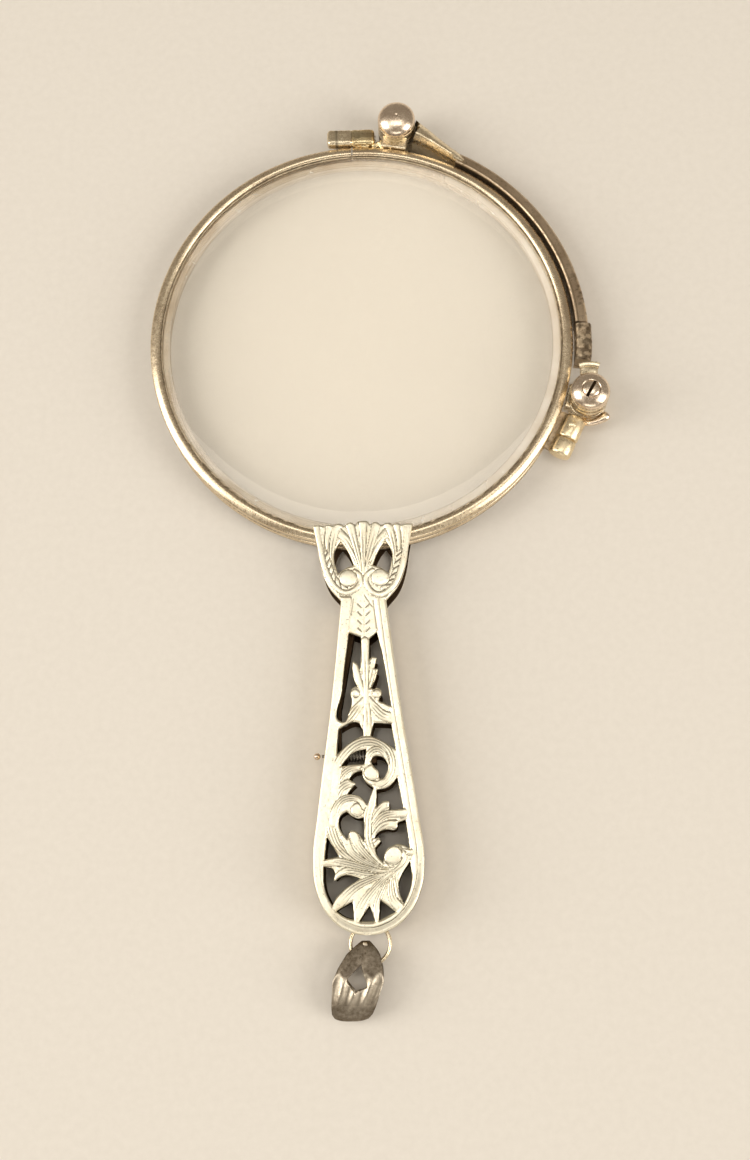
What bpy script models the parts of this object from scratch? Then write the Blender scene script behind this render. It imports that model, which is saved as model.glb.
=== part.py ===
"""Folding spring lorgnette: two round framed lenses stacked face to face on a pierced, hollow handle.

Lengths below are in millimetres and become metres through MM.  The lens centre is the design point:
+X to the right, +Y away from the handle, +Z up through the lenses, and Z = 0 under the back plate.
"""
from math import cos, pi, radians, sin

import bmesh
import bpy
from mathutils import Matrix, Vector

MM = 0.001

# Where the lens centre lies in the world, so that the origin is under the middle of the whole part.
LENS_CENTRE = Vector((-1.57, 18.32, 0.0)) * MM

# Stack of layers, bottom to top.
PLATE_BACK = (0.0, 0.5)
PLATE_FRONT = (3.35, 3.95)
REAR_Z = 1.25
FRONT_Z = 2.60
RIM_HALF = 0.55
WALL_Z = (0.72, 3.13)
LOWER_KNUCKLE = (0.0, 1.8)
UPPER_KNUCKLE = (2.05, 3.7)
CAP_Z = 3.9

# Rims and lenses.
RIM_OUTER = 19.1
RIM_INNER = 17.85
GROOVE_R = 18.35
LENS_R = 18.15
ROUND_STEPS = 64

# Hinges of the bridge, by their distance from the lens centre and their direction.
HINGE_1_R = 21.45
HINGE_2_R = 21.1
HINGE_1_DEG = 80.4
HINGE_2_DEG = -15.8
KNUCKLE_R = 1.72
PIN_R = 0.36
BORE_R = 0.44

# Bridge bar.
BAR_R = 19.97
BAR_HALF_WIDTH = 0.6
BAR_Z = (0.75, 3.2)
BAR_FROM_DEG = 3.6
BAR_TO_DEG = 62.0

# Push pin, latch and ring.
PIN_Y = -37.35
BUTTON_X = -4.2
BUTTON_R = 0.3
MID_Z = 1.95
LATCH_PIVOT = (-1.15, -26.2)
RING_CENTRE = (0.15, -52.95)
RING_R = 1.65
RING_WIRE = 0.17
RING_AXIS_Y = -51.95
BAIL_PLACE = (-0.6, -54.55)
BAIL_LEAN = radians(-12)

# Points of the plates' left side, from the leaf tip of the crest to the rounded end, and how much
# further out each point of the right side's shaft lies.
CREST_TOP = [(0.0, -17.2), (-1.3, -17.35), (-2.8, -17.35)]
CREST_CORNER = (-4.35, -17.45)
CREST_SIDE = [(-4.0, -19.2), (-3.65, -21.2), (-3.05, -22.8)]
NECK = (-1.95, -24.15)
SHAFT = [(-2.85, -32.85), (-4.05, -42.1), (-4.47, -46.35), (-4.15, -48.8), (-3.0, -50.9),
         (-1.5, -51.95)]
SHAFT_WIDER = [0.15, 0.28, 0.32, 0.26, 0.15, 0.05]
END_TIP = (0.0, -52.25)

SILVER = ("silver", (0.80, 0.74, 0.60), 0.28, 1.0)
TARNISHED = ("tarnished_silver", (0.58, 0.50, 0.40), 0.38, 1.0)
STEEL = ("spring_steel", (0.42, 0.40, 0.38), 0.35, 1.0)
GLASS = ("lens_glass", (0.93, 0.96, 0.94), 0.03, 0.0)


def clear_scene():
    for item in list(bpy.data.objects):
        bpy.data.objects.remove(item, do_unlink=True)


def new_collection(name):
    made = bpy.data.collections.new(name)
    bpy.context.scene.collection.children.link(made)
    return made


clear_scene()
PARTS = new_collection("spring_lorgnette")
CUTTERS = new_collection("cutters")
GUIDES = new_collection("guides")


def polar(radius, degrees):
    return (radius * cos(radians(degrees)), radius * sin(radians(degrees)))


HINGE_1 = polar(HINGE_1_R, HINGE_1_DEG)
HINGE_2 = polar(HINGE_2_R, HINGE_2_DEG)


def make_guide(name, x, y, z=0.0):
    """An empty at a place given from the lens centre; bodies hang on these."""
    guide = bpy.data.objects.new(name, None)
    guide.empty_display_size = 2 * MM
    guide.hide_render = True
    guide.location = LENS_CENTRE + Vector((x, y, z)) * MM
    GUIDES.objects.link(guide)
    return guide


HANDLE = make_guide("handle_origin", 0, 0)
BRIDGE = make_guide("bridge_pivot", *HINGE_1)
REAR = make_guide("rear_lens_pivot", *HINGE_2)
BUTTON = make_guide("push_pin_axis", -3.4, PIN_Y, MID_Z)
LATCH = make_guide("latch_pivot_axis", *LATCH_PIVOT)
RING = make_guide("ring_axis", RING_CENTRE[0], RING_AXIS_Y, MID_Z)
BAIL = make_guide("bail_axis", RING_CENTRE[0], RING_CENTRE[1] - RING_R, MID_Z)


def material_of(node, finish):
    name, colour, roughness, metallic = finish
    made = bpy.data.materials.new(node + "_" + name)
    made.use_nodes = True
    shader = made.node_tree.nodes["Principled BSDF"]
    shader.inputs["Base Color"].default_value = (*colour, 1.0)
    shader.inputs["Roughness"].default_value = roughness
    shader.inputs["Metallic"].default_value = metallic
    if finish is GLASS:
        shader.inputs["Transmission Weight"].default_value = 1.0
    return made


def add_part(name, data, finish, pivot, place=(0, 0, 0), turn=None):
    """Link a mesh or curve as a named part at a place given from the lens centre, on its pivot."""
    part = bpy.data.objects.new(name, data)
    PARTS.objects.link(part)
    turned = turn if turn is not None else Matrix.Identity(4)
    where = Matrix.Translation(LENS_CENTRE + Vector(place) * MM) @ turned
    part.parent = pivot
    part.matrix_parent_inverse = Matrix.Translation(pivot.location).inverted()
    part.matrix_basis = where
    data.materials.append(material_of(name, finish))
    return part


def add_cutter(name, data, place=(0, 0, 0), turn=None):
    cutter = bpy.data.objects.new(name, data)
    CUTTERS.objects.link(cutter)
    cutter.hide_render = True
    cutter.display_type = "WIRE"
    turned = turn if turn is not None else Matrix.Identity(4)
    cutter.matrix_basis = Matrix.Translation(LENS_CENTRE + Vector(place) * MM) @ turned
    return cutter


def combine(part, other, operation="DIFFERENCE"):
    boolean = part.modifiers.new(operation.lower() + "_" + other.name, "BOOLEAN")
    boolean.operation = operation
    boolean.solver = "EXACT"
    boolean.object = other


def mesh_from(name, build, *values):
    """A new mesh filled by one of the bmesh builders below."""
    shape = bmesh.new()
    build(shape, *values)
    mesh = bpy.data.meshes.new(name)
    shape.to_mesh(mesh)
    shape.free()
    return mesh


def build_box(shape, low, high):
    bmesh.ops.create_cube(shape, size=1.0)
    size = [(b - a) * MM for a, b in zip(low, high)]
    middle = [(a + b) / 2 * MM for a, b in zip(low, high)]
    bmesh.ops.scale(shape, vec=size, verts=shape.verts)
    bmesh.ops.translate(shape, vec=middle, verts=shape.verts)


def build_cylinder(shape, radius, low, high, sides=24):
    bmesh.ops.create_cone(shape, cap_ends=True, segments=sides, radius1=radius * MM,
                          radius2=radius * MM, depth=(high - low) * MM)
    bmesh.ops.translate(shape, vec=(0, 0, (low + high) / 2 * MM), verts=shape.verts)


def build_ball(shape, radius):
    bmesh.ops.create_uvsphere(shape, u_segments=14, v_segments=8, radius=radius * MM)


def smooth(part, degrees=35):
    part.data.shade_smooth()
    part.data.set_sharp_from_angle(angle=radians(degrees))
    return part


def add_bevel(part, width, segments=1):
    bevel = part.modifiers.new("edges", "BEVEL")
    bevel.width = width * MM
    bevel.segments = segments
    bevel.limit_method = "ANGLE"
    bevel.angle_limit = radians(40)


def turned_mesh(name, profile, closed=False):
    mesh = bpy.data.meshes.new(name)
    points = [(radius * MM, 0, height * MM) for radius, height in profile]
    edges = [(i, i + 1) for i in range(len(points) - 1)]
    if closed:
        edges.append((len(points) - 1, 0))
    mesh.from_pydata(points, edges, [])
    return mesh


def add_turned(name, profile, finish, pivot, place, steps=24, closed=False):
    """A profile of (radius, height) pairs, top to bottom on its outer side, turned round the Z axis."""
    part = add_part(name, turned_mesh(name, profile, closed), finish, pivot, place)
    turn_profile(part, steps)
    return part


def turn_profile(part, steps):
    screw = part.modifiers.new("turned", "SCREW")
    screw.steps = steps
    screw.render_steps = steps
    screw.use_merge_vertices = True
    screw.merge_threshold = 0.000001
    screw.use_smooth_shade = True


def outline_curve(name, outlines, low, high, detail=3):
    """A flat plate of closed outlines (an outer one and holes) between two heights.

    Each outline is a list of points; a point given as (x, y, 'c') is a sharp corner.
    """
    curve = bpy.data.curves.new(name, "CURVE")
    curve.dimensions = "2D"
    curve.fill_mode = "BOTH"
    curve.extrude = (high - low) / 2 * MM
    curve.resolution_u = detail
    for outline in outlines:
        spline = curve.splines.new("BEZIER")
        spline.bezier_points.add(len(outline) - 1)
        spline.use_cyclic_u = True
        for knot, point in zip(spline.bezier_points, outline):
            handle = "VECTOR" if len(point) == 3 else "AUTO"
            knot.co = (point[0] * MM, point[1] * MM, 0)
            knot.handle_left_type = handle
            knot.handle_right_type = handle
    return curve


def add_plate(name, outlines, low, high, finish, pivot, detail=3):
    """The plate as a mesh, so that holes and unions can be made in it."""
    curve = outline_curve(name + "_outline", outlines, low, high, detail)
    source = bpy.data.objects.new(name + "_source", curve)
    GUIDES.objects.link(source)
    bpy.context.view_layer.update()
    seen = source.evaluated_get(bpy.context.evaluated_depsgraph_get())
    mesh = bpy.data.meshes.new_from_object(seen)
    shape = bmesh.new()
    shape.from_mesh(mesh)
    bmesh.ops.remove_doubles(shape, verts=shape.verts, dist=0.000002)
    shape.to_mesh(mesh)
    shape.free()
    mesh.name = name
    bpy.data.objects.remove(source, do_unlink=True)
    return add_part(name, mesh, finish, pivot, (0, 0, (low + high) / 2))


def add_wire(name, points, radius, finish, pivot, place=(0, 0, 0), closed=False, turn=None):
    """A round wire along points in millimetres."""
    curve = bpy.data.curves.new(name, "CURVE")
    curve.dimensions = "3D"
    curve.bevel_depth = radius * MM
    curve.bevel_resolution = 2
    curve.use_fill_caps = not closed
    spline = curve.splines.new("POLY")
    spline.points.add(len(points) - 1)
    spline.use_cyclic_u = closed
    for knot, point in zip(spline.points, points):
        knot.co = (point[0] * MM, point[1] * MM, point[2] * MM, 1)
    return add_part(name, curve, finish, pivot, place, turn)


def corner(point):
    return (point[0], point[1], "c")


def mirrored(points):
    return [(-p[0], *p[1:]) for p in points]


def plate_outline():
    crest = [corner(CREST_CORNER)] + CREST_SIDE + [corner(NECK)]
    right_shaft = [(-x + wider, y) for (x, y), wider in zip(SHAFT, SHAFT_WIDER)]
    right = right_shaft[::-1] + mirrored(crest)[::-1]
    top = CREST_TOP[1:]
    return [CREST_TOP[0]] + top + crest + SHAFT + [END_TIP] + right + mirrored(top)[::-1]


def piercings():
    """The holes of both handle plates, from the crest to the rounded end."""
    crest_left = [(-1.95, -18.85, "c"), (-2.5, -19.9), (-2.45, -20.9), (-2.2, -21.8, "c"),
                  (-1.5, -21.3), (-0.8, -21.05, "c"), (-1.25, -19.9)]
    stem_left = [(-1.3, -27.3, "c"), (-0.35, -27.8, "c"), (-0.35, -29.6, "c"), (-1.05, -29.8),
                 (-0.65, -31.6), (-1.1, -32.05), (-1.15, -33.2), (-1.95, -34.65), (-1.9, -31.8)]
    stem_right = [(0.45, -27.8, "c"), (1.1, -27.25, "c"), (1.8, -31.6), (2.1, -33.85, "c"),
                  (1.15, -33), (1.4, -32.2), (0.65, -32.1), (1.2, -30.4), (1.05, -29.6),
                  (0.45, -29.4, "c")]
    wing_left = [(-2.25, -35.25, "c"), (-0.95, -34.65), (-0.5, -34.75, "c"), (-0.2, -35.45),
                 (-0.15, -35.8, "c"), (-1.05, -36.25), (-1.75, -36.75), (-2.4, -37.45, "c")]
    wing_right = [(0.75, -34.75, "c"), (2.2, -34.85, "c"), (2.55, -37.05, "c"), (1.9, -36.6),
                  (1.0, -36.1), (0.45, -35.85, "c"), (0.55, -35.45)]
    spring_window = [(-2.1, -38.4, "c"), (-1.6, -37.8), (-0.9, -37.2), (0.1, -36.95, "c"),
                     (-0.1, -38.25, "c"), (-1.2, -38.3)]
    scroll_eye = [(0.5, -37.85), (1.1, -37.55), (1.85, -38.25), (1.75, -39), (1.3, -39.5),
                  (1.05, -38.8), (0.7, -38.45)]
    leaf_gap = [(-1.1, -39.1, "c"), (-0.35, -38.8, "c"), (-0.25, -39.55), (0.65, -40.35, "c"),
                (0.1, -41.7, "c"), (-0.6, -41), (-1.55, -40.9, "c"), (-0.9, -40.05)]
    stem_gap = [(0.9, -40.4, "c"), (1.9, -40.15), (2.65, -39.5, "c"), (3.1, -42.15, "c"),
                (1.85, -42.2, "c"), (1.8, -41.5), (0.85, -42, "c")]
    scroll_low = [(-2.2, -42.6), (-1.65, -42.15, "c"), (-0.9, -42.7), (-0.2, -42.7, "c"),
                  (-0.15, -44.65, "c"), (-1.2, -43.75), (-1.6, -44.45, "c"), (-2.25, -43.45)]
    palm_right = [(0.9, -43.95), (2.4, -43.6), (2.5, -43.15, "c"), (3.3, -42.9, "c"),
                  (3.6, -45.35, "c"), (2.9, -45.15), (1.7, -45.85), (1.25, -46.4, "c"), (0.6, -45.25)]
    low_left = [(-3.3, -44.2, "c"), (-2.3, -45.85, "c"), (-3.5, -46.1, "c")]
    leaf_left = [(-3.6, -46.65, "c"), (-2.75, -46.95), (-2.7, -47.85, "c"), (-1.9, -47.4),
                 (-0.5, -47.65, "c"), (-2.3, -48.9), (-2.9, -49.9, "c"), (-3.5, -48.5)]
    leaf_right = [(3.6, -46.25, "c"), (3.7, -48.05), (3.05, -49.85, "c"), (2.6, -48.25)]
    end_left = [(-2.6, -50.3, "c"), (-1.2, -49.5, "c"), (-1.1, -51, "c"), (-1.9, -50.75)]
    end_middle = [(-0.7, -51.15, "c"), (0.2, -49.85, "c"), (0.65, -51.15, "c")]
    end_right = [(0.95, -51.1, "c"), (1.05, -49.4, "c"), (2.35, -50.4, "c")]
    return [crest_left, mirrored(crest_left), stem_left, stem_right, wing_left, wing_right,
            spring_window, scroll_eye, leaf_gap, stem_gap, scroll_low, palm_right, low_left,
            leaf_left, leaf_right, end_left, end_middle, end_right]


def wall_outline():
    """A strip that follows the plates' edge from one side of the neck round the end to the other."""
    inset, thickness = 0.15, 0.4
    line = [(-2.03, -24.7), (-2.85, -32.65), (-4.1, -42.0), (-4.55, -46.3), (-4.2, -48.8),
            (-3.0, -50.9), (-1.5, -51.95), (0.0, -52.25)]
    lean = [(0.99, 0.1), (0.99, 0.12), (0.99, 0.12), (1.0, 0.0), (0.93, 0.36), (0.72, 0.69),
            (0.4, 0.92), (0.0, 1.0)]
    outer = [(x + inset * u, y + inset * v) for (x, y), (u, v) in zip(line, lean)]
    inner = [(x + thickness * u, y + thickness * v) for (x, y), (u, v) in zip(outer, lean)]
    outer[0], inner[0] = corner(outer[0]), corner(inner[0])
    ring = outer + mirrored(outer[:-1])[::-1]
    back = mirrored(inner[:-1]) + inner[::-1]
    return ring + back


def make_handle():
    shapes = [plate_outline()] + piercings()
    add_plate("front_plate", shapes, *PLATE_FRONT, SILVER, HANDLE)
    add_plate("back_plate", shapes, *PLATE_BACK, SILVER, HANDLE)
    wall = add_plate("side_wall", [wall_outline()], *WALL_Z, SILVER, HANDLE, 4)
    hole = mesh_from("pin_hole", build_cylinder, 0.34, -2.0, 2.0, 16)
    combine(wall, add_cutter("pin_hole", hole, (-3.4, PIN_Y, MID_Z), Matrix.Rotation(pi / 2, 4, "Y")))
    groove = [(RING_R + 0.36 * cos(a * pi / 5), 0.36 * sin(a * pi / 5)) for a in range(10, 0, -1)]
    ring_way = add_cutter("ring_way", turned_mesh("ring_way", groove, closed=True),
                          (*RING_CENTRE, MID_Z))
    turn_profile(ring_way, 28)
    combine(wall, ring_way)


def rim_profile():
    """Half-round wire with a square groove on its inner side for the lens edge."""
    return [(RIM_INNER, 0.42), (18.35, RIM_HALF), (18.85, 0.4), (RIM_OUTER, 0.0), (18.85, -0.4),
            (18.35, -RIM_HALF), (RIM_INNER, -0.42), (RIM_INNER, -0.28), (GROOVE_R, -0.28),
            (GROOVE_R, 0.28), (RIM_INNER, 0.28)]


def lens_profile():
    """A weak double-convex lens with a ground bevel that thins its edge."""
    top = [(0.0, 0.45), (7.0, 0.43), (13.0, 0.38), (17.0, 0.31), (17.65, 0.14), (LENS_R, 0.12)]
    return top + [(radius, -height) for radius, height in reversed(top)]


def make_lens(side, height, pivot):
    add_turned(side + "_rim", rim_profile(), TARNISHED, pivot, (0, 0, height), ROUND_STEPS, True)
    add_turned(side + "_lens", lens_profile(), GLASS, pivot, (0, 0, height), ROUND_STEPS)


def knuckle_mesh(name, low, high, cup):
    """Turned drum with a bore; a cup leaves room for the spiral spring and opens upwards."""
    if cup:
        profile = [(1.34, high), (KNUCKLE_R, high), (KNUCKLE_R, low), (BORE_R, low),
                   (BORE_R, low + 0.35), (1.34, low + 0.35)]
    else:
        profile = [(BORE_R, high), (KNUCKLE_R - 0.15, high), (KNUCKLE_R, high - 0.15),
                   (KNUCKLE_R, low + 0.15), (KNUCKLE_R - 0.15, low), (BORE_R, low)]
    return turned_mesh(name, profile, closed=True)


def add_knuckle(name, hinge, low, high, cup, finish, pivot):
    part = add_part(name, knuckle_mesh(name, low, high, cup), finish, pivot, (*hinge, 0))
    turn_profile(part, 28)
    return part


def box_toward_rim(name, degrees, low, high, width, inner_r, outer_r):
    """A lug between a drum and its rim, as a box turned to the hinge's direction."""
    mesh = mesh_from(name, build_box, (inner_r, -width / 2, low), (outer_r, width / 2, high))
    return add_cutter(name, mesh, (0, 0, 0), Matrix.Rotation(radians(degrees), 4, "Z"))


def spiral(inner, outer, turns, height):
    count = int(turns * 14)
    radii = [inner + (outer - inner) * i / count for i in range(count + 1)]
    return [(r * cos(2 * pi * turns * i / count), r * sin(2 * pi * turns * i / count), height)
            for i, r in enumerate(radii)]


def dome_profile(base, height, inner=0.0):
    """Domed cap; inner leaves a hole for a screw head."""
    edge = [(KNUCKLE_R * cos(a), base + 0.25 + height * sin(a))
            for a in [radians(d) for d in (60, 45, 30, 15, 0)]]
    if inner:
        return [(inner, base + 0.25 + height * 0.9)] + edge + [(KNUCKLE_R, base), (inner, base)]
    return [(0.0, base + 0.25 + height)] + edge + [(KNUCKLE_R, base), (0.0, base)]


def make_hinge_1():
    drum = add_knuckle("front_hinge_drum", HINGE_1, *UPPER_KNUCKLE, True, SILVER, HANDLE)
    lug = box_toward_rim("front_lug", HINGE_1_DEG, 2.1, 3.1, 2.2, 19.3, 19.95)
    combine(drum, lug, "UNION")
    add_turned("front_hinge_cap", dome_profile(CAP_Z, 0.75), TARNISHED, HANDLE, (*HINGE_1, 0), 28)
    pin = [(0.0, 3.6), (PIN_R, 3.6), (PIN_R, 0.15), (0.0, 0.15)]
    add_turned("front_hinge_pin", pin, STEEL, HANDLE, (*HINGE_1, 0), 14)
    add_wire("front_hinge_spring", spiral(0.62, 1.18, 2.2, 3.0), 0.1, STEEL, HANDLE, (*HINGE_1, 0))


def make_hinge_2():
    drum = add_knuckle("bridge_hinge_drum", HINGE_2, *UPPER_KNUCKLE, True, SILVER, BRIDGE)
    neck = mesh_from("drum_neck", build_box, (-0.75, 1.5, 2.1), (0.85, 2.65, 3.55))
    combine(drum, add_cutter("drum_neck", neck, (*HINGE_2, 0)), "UNION")
    add_turned("bridge_hinge_cap", dome_profile(CAP_Z, 0.7, 0.95), TARNISHED, BRIDGE,
               (*HINGE_2, 0), 28, True)
    screw = [(0.0, 4.85), (0.45, 4.8), (0.75, 4.62), (0.75, 3.95), (PIN_R, 3.95), (PIN_R, 0.15),
             (0.0, 0.15)]
    made = add_turned("bridge_hinge_screw", screw, SILVER, BRIDGE, (*HINGE_2, 0), 20)
    slot = mesh_from("screw_slot", build_box, (-1.0, -0.12, 4.5), (1.0, 0.12, 5.2))
    turn = Matrix.Rotation(radians(60), 4, "Z")
    combine(made, add_cutter("screw_slot", slot, (*HINGE_2, 0), turn))
    add_wire("bridge_hinge_spring", spiral(0.62, 1.18, 2.2, 3.0), 0.1, STEEL, BRIDGE, (*HINGE_2, 0))
    lower = add_knuckle("rear_hinge_knuckle", HINGE_2, *LOWER_KNUCKLE, False, SILVER, REAR)
    lug = box_toward_rim("rear_lug", HINGE_2_DEG, 0.8, 1.7, 2.2, 19.3, 19.95)
    combine(lower, lug, "UNION")


def arc_points(radius, start, end, count):
    return [polar(radius, start + (end - start) * i / (count - 1)) for i in range(count)]


def arc_strip(radius, half_width, start, end, count=9):
    outer = arc_points(radius + half_width, start, end, count)
    inner = arc_points(radius - half_width, end, start, count)
    for line in (outer, inner):
        line[0], line[-1] = corner(line[0]), corner(line[-1])
    return outer + inner


def make_bridge():
    bar = arc_strip(BAR_R, BAR_HALF_WIDTH, BAR_FROM_DEG, BAR_TO_DEG)
    add_bevel(add_plate("bridge_bar", [bar], *BAR_Z, TARNISHED, BRIDGE, 2), 0.22, 2)
    make_bridge_arm()
    end = arc_strip(BAR_R, BAR_HALF_WIDTH + 0.02, -7.2, BAR_FROM_DEG - 0.7, 4)
    add_bevel(add_plate("bridge_end_piece", [end], 0.9, 3.35, TARNISHED, BRIDGE, 2), 0.12)


def make_bridge_arm():
    """Flared arm: a lower knuckle under the front drum and a wedge that narrows to the bar's width."""
    knuckle = add_knuckle("bridge_arm", HINGE_1, *LOWER_KNUCKLE, False, SILVER, BRIDGE)
    tip_outer = polar(BAR_R + BAR_HALF_WIDTH, 62.8)
    tip_inner = polar(BAR_R - BAR_HALF_WIDTH, 62.8)
    wedge = [corner((4.15, 22.4)), corner((5.35, 22.0)), corner(tip_outer), corner(tip_inner),
             corner((5.5, 18.85)), corner((4.9, 19.6))]
    body = add_plate("arm_wedge", [wedge], 0.35, 3.45, SILVER, BRIDGE, 2)
    PARTS.objects.unlink(body)
    CUTTERS.objects.link(body)
    body.parent = None
    body.matrix_basis = Matrix.Translation(LENS_CENTRE + Vector((0, 0, 1.9)) * MM)
    body.hide_render = True
    body.display_type = "WIRE"
    add_bevel(body, 0.25)
    clearance = mesh_from("drum_clearance", build_cylinder, KNUCKLE_R + 0.25, 1.92, 4.5, 28)
    combine(body, add_cutter("drum_clearance", clearance, (*HINGE_1, 0)))
    bore = mesh_from("arm_bore", build_cylinder, BORE_R, -1.0, 4.5, 28)
    combine(knuckle, body, "UNION")
    combine(knuckle, add_cutter("arm_bore", bore, (*HINGE_1, 0)))


def make_closing_block(side, place, turn, spans, height, radius, pivot, finish):
    """A split block along the rim, in two halves, drawn together by a small screw through both."""
    quarter = Matrix.Rotation(pi / 2, 4, "Y")
    bore = mesh_from(side + "_block_bore", build_cylinder, 0.36, -4.0, 4.0, 14)
    cutter = add_cutter(side + "_block_bore", bore, (*place, height), turn @ quarter)
    for label, (low, high) in zip(("inner", "outer"), spans):
        mesh = mesh_from(side + label, build_box, (low, -radius, -radius * 0.75),
                         (high, radius, radius * 0.75))
        half = add_part(side + "_block_" + label, mesh, finish, pivot, (*place, height), turn)
        add_bevel(half, radius * 0.3, 2)
        combine(half, cutter)
    low, high = spans[0][0] + 0.3, spans[1][1] + 0.12
    screw = mesh_from(side + "_block_screw", build_cylinder, 0.26, low, high, 12)
    part = add_part(side + "_block_screw", screw, STEEL, pivot, (*place, height), turn @ quarter)
    smooth(part)


def make_blocks():
    upright = Matrix.Identity(4)
    make_closing_block("front", (-0.65, 20.0), upright, [(-2.25, -0.1), (0.1, 2.15)], 2.75, 0.78,
                       HANDLE, TARNISHED)
    tangent = Matrix.Rotation(radians(63.8), 4, "Z")
    make_closing_block("rear", (18.35, -9.0), tangent, [(-1.95, -0.35), (-0.15, 1.75)], 1.75, 0.9,
                       REAR, SILVER)


def make_thumb_lip():
    """A small curved lip that stands out beside the second hinge and turns with the rear lens."""
    line = [(-0.25, -2.08, 1.0), (0.45, -2.08, 1.35), (1.15, -1.82, 1.6), (1.8, -1.45, 1.7)]
    add_wire("thumb_lip", line, 0.3, SILVER, REAR, (*HINGE_2, 0))


def make_catch():
    """The stud on the rear rim and the latch lever inside the handle that holds it."""
    stud = mesh_from("catch_stud", build_box, (-0.3, -21.6, 0.85), (0.3, -19.35, 1.65))
    add_bevel(add_part("catch_stud", stud, STEEL, REAR), 0.08)
    x, y = LATCH_PIVOT
    lever_line = [corner((x + 0.95, y + 2.75)), corner((x + 1.15, y + 2.75)), corner((x + 1.1, y + 2.2)),
                  corner((x + 0.4, y)), corner((-2.08, -33.5)), corner((-2.1, -36.95)),
                  corner((-2.3, -36.95)), corner((-2.28, -33.5)), corner((x - 0.15, y - 0.2)),
                  corner((x - 0.1, y + 0.3))]
    lever = add_plate("latch_lever", [lever_line], 1.0, 2.8, STEEL, LATCH, 1)
    bore = mesh_from("latch_bore", build_cylinder, 0.2, 0.0, 4.0, 14)
    combine(lever, add_cutter("latch_bore", bore, (x + 0.1, y, 0)))
    pin = mesh_from("latch_pin", build_cylinder, 0.13, 0.72, 3.13, 12)
    smooth(add_part("latch_pin", pin, STEEL, HANDLE, (x + 0.1, y, 0)))


def make_push_pin():
    """Ball-headed push pin through the left wall, its collars, return spring and spring seat."""
    profile = [(0.0, 4.05), (0.2, 4.05), (0.2, 2.4), (0.46, 2.4), (0.46, 2.25), (0.2, 2.25),
               (0.2, 1.5), (0.5, 1.5), (0.5, 1.3), (0.2, 1.3), (0.2, 0.65), (0.14, 0.65),
               (0.14, 0.12), (0.0, 0.12)]
    across = Matrix.Rotation(pi / 2, 4, "Y")
    pin = add_part("push_pin", turned_mesh("push_pin", profile), STEEL, BUTTON,
                   (BUTTON_X + 0.3, PIN_Y, MID_Z), across)
    turn_profile(pin, 14)
    ball = mesh_from("button_ball", build_ball, BUTTON_R)
    head = add_part("button_ball", ball, SILVER, BUTTON, (BUTTON_X, PIN_Y, MID_Z))
    smooth(head)
    turns, start, length = 6, -1.5, 1.75
    count = turns * 10
    coil = [(start + length * i / count, 0.48 * cos(2 * pi * i / 10), 0.48 * sin(2 * pi * i / 10))
            for i in range(count + 1)]
    add_wire("button_spring", coil, 0.09, STEEL, HANDLE, (0, PIN_Y, MID_Z))
    seat = mesh_from("spring_seat", build_box, (0.5, -0.7, -1.15), (0.9, 0.7, 1.15))
    seat_part = add_part("spring_seat", seat, STEEL, HANDLE, (0, PIN_Y, MID_Z))
    bore = mesh_from("seat_bore", build_cylinder, 0.3, -2.0, 2.0, 14)
    combine(seat_part, add_cutter("seat_bore", bore, (0.7, PIN_Y, MID_Z), across))


def make_ring():
    steps = 28
    line = [(RING_R * cos(2 * pi * i / steps), RING_R * sin(2 * pi * i / steps), 0)
            for i in range(steps)]
    add_wire("jump_ring", line, RING_WIRE, SILVER, RING, (*RING_CENTRE, MID_Z), True)


def build_bail(shape, around, across):
    """A closed band that loops round the ring: narrow at the top, wide and rounded at the bottom,
    with a triangular opening between its two legs on both faces."""
    rows = []
    for i in range(around):
        turn = 2 * pi * i / around
        along = 1.85 - 3.25 * (1 - cos(turn))
        down = (1 - cos(turn)) / 2
        half = 0.55 + 1.4 * min(1.0, down * 1.25)
        height = sin(turn) * (0.75 + 0.6 * down) - 0.55 * down
        rows.append([shape.verts.new((half * (2 * j / across - 1) * MM, along * MM, height * MM))
                     for j in range(across + 1)])
    for i, row in enumerate(rows):
        after = rows[(i + 1) % around]
        middle = (1 - cos(2 * pi * (i + 0.5) / around)) / 2
        for j in range(across):
            in_middle = across // 2 - 1 <= j <= across // 2
            if in_middle and 0.3 < middle < 0.6:
                continue
            shape.faces.new((row[j], row[j + 1], after[j + 1], after[j]))
    bmesh.ops.recalc_face_normals(shape, faces=shape.faces)


def make_bail():
    mesh = mesh_from("bail", build_bail, 28, 6)
    lean = Matrix.Rotation(BAIL_LEAN, 4, "Z")
    bail = add_part("bail", mesh, TARNISHED, BAIL,
                    (*BAIL_PLACE, MID_Z), lean)
    solid = bail.modifiers.new("sheet", "SOLIDIFY")
    solid.thickness = 0.22 * MM
    solid.offset = -1
    smooth(bail, 50)


make_handle()
make_lens("front", FRONT_Z, HANDLE)
make_lens("rear", REAR_Z, REAR)
make_hinge_1()
make_hinge_2()
make_bridge()
make_blocks()
make_thumb_lip()
make_catch()
make_push_pin()
make_ring()
make_bail()
REAR.parent = BRIDGE
REAR.matrix_parent_inverse = Matrix.Translation(BRIDGE.location).inverted()
BAIL.parent = RING
BAIL.matrix_parent_inverse = Matrix.Translation(RING.location).inverted()
bpy.context.view_layer.update()
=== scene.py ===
"""Looks of the folding spring lorgnette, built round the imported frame.

Lengths are in millimetres from the lens centre: +X right, +Y away from the handle, +Z up.
"""
from math import cos, hypot, pi, radians, sin

import bmesh
import bpy
import numpy as np
from mathutils import Matrix, Vector, noise


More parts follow.
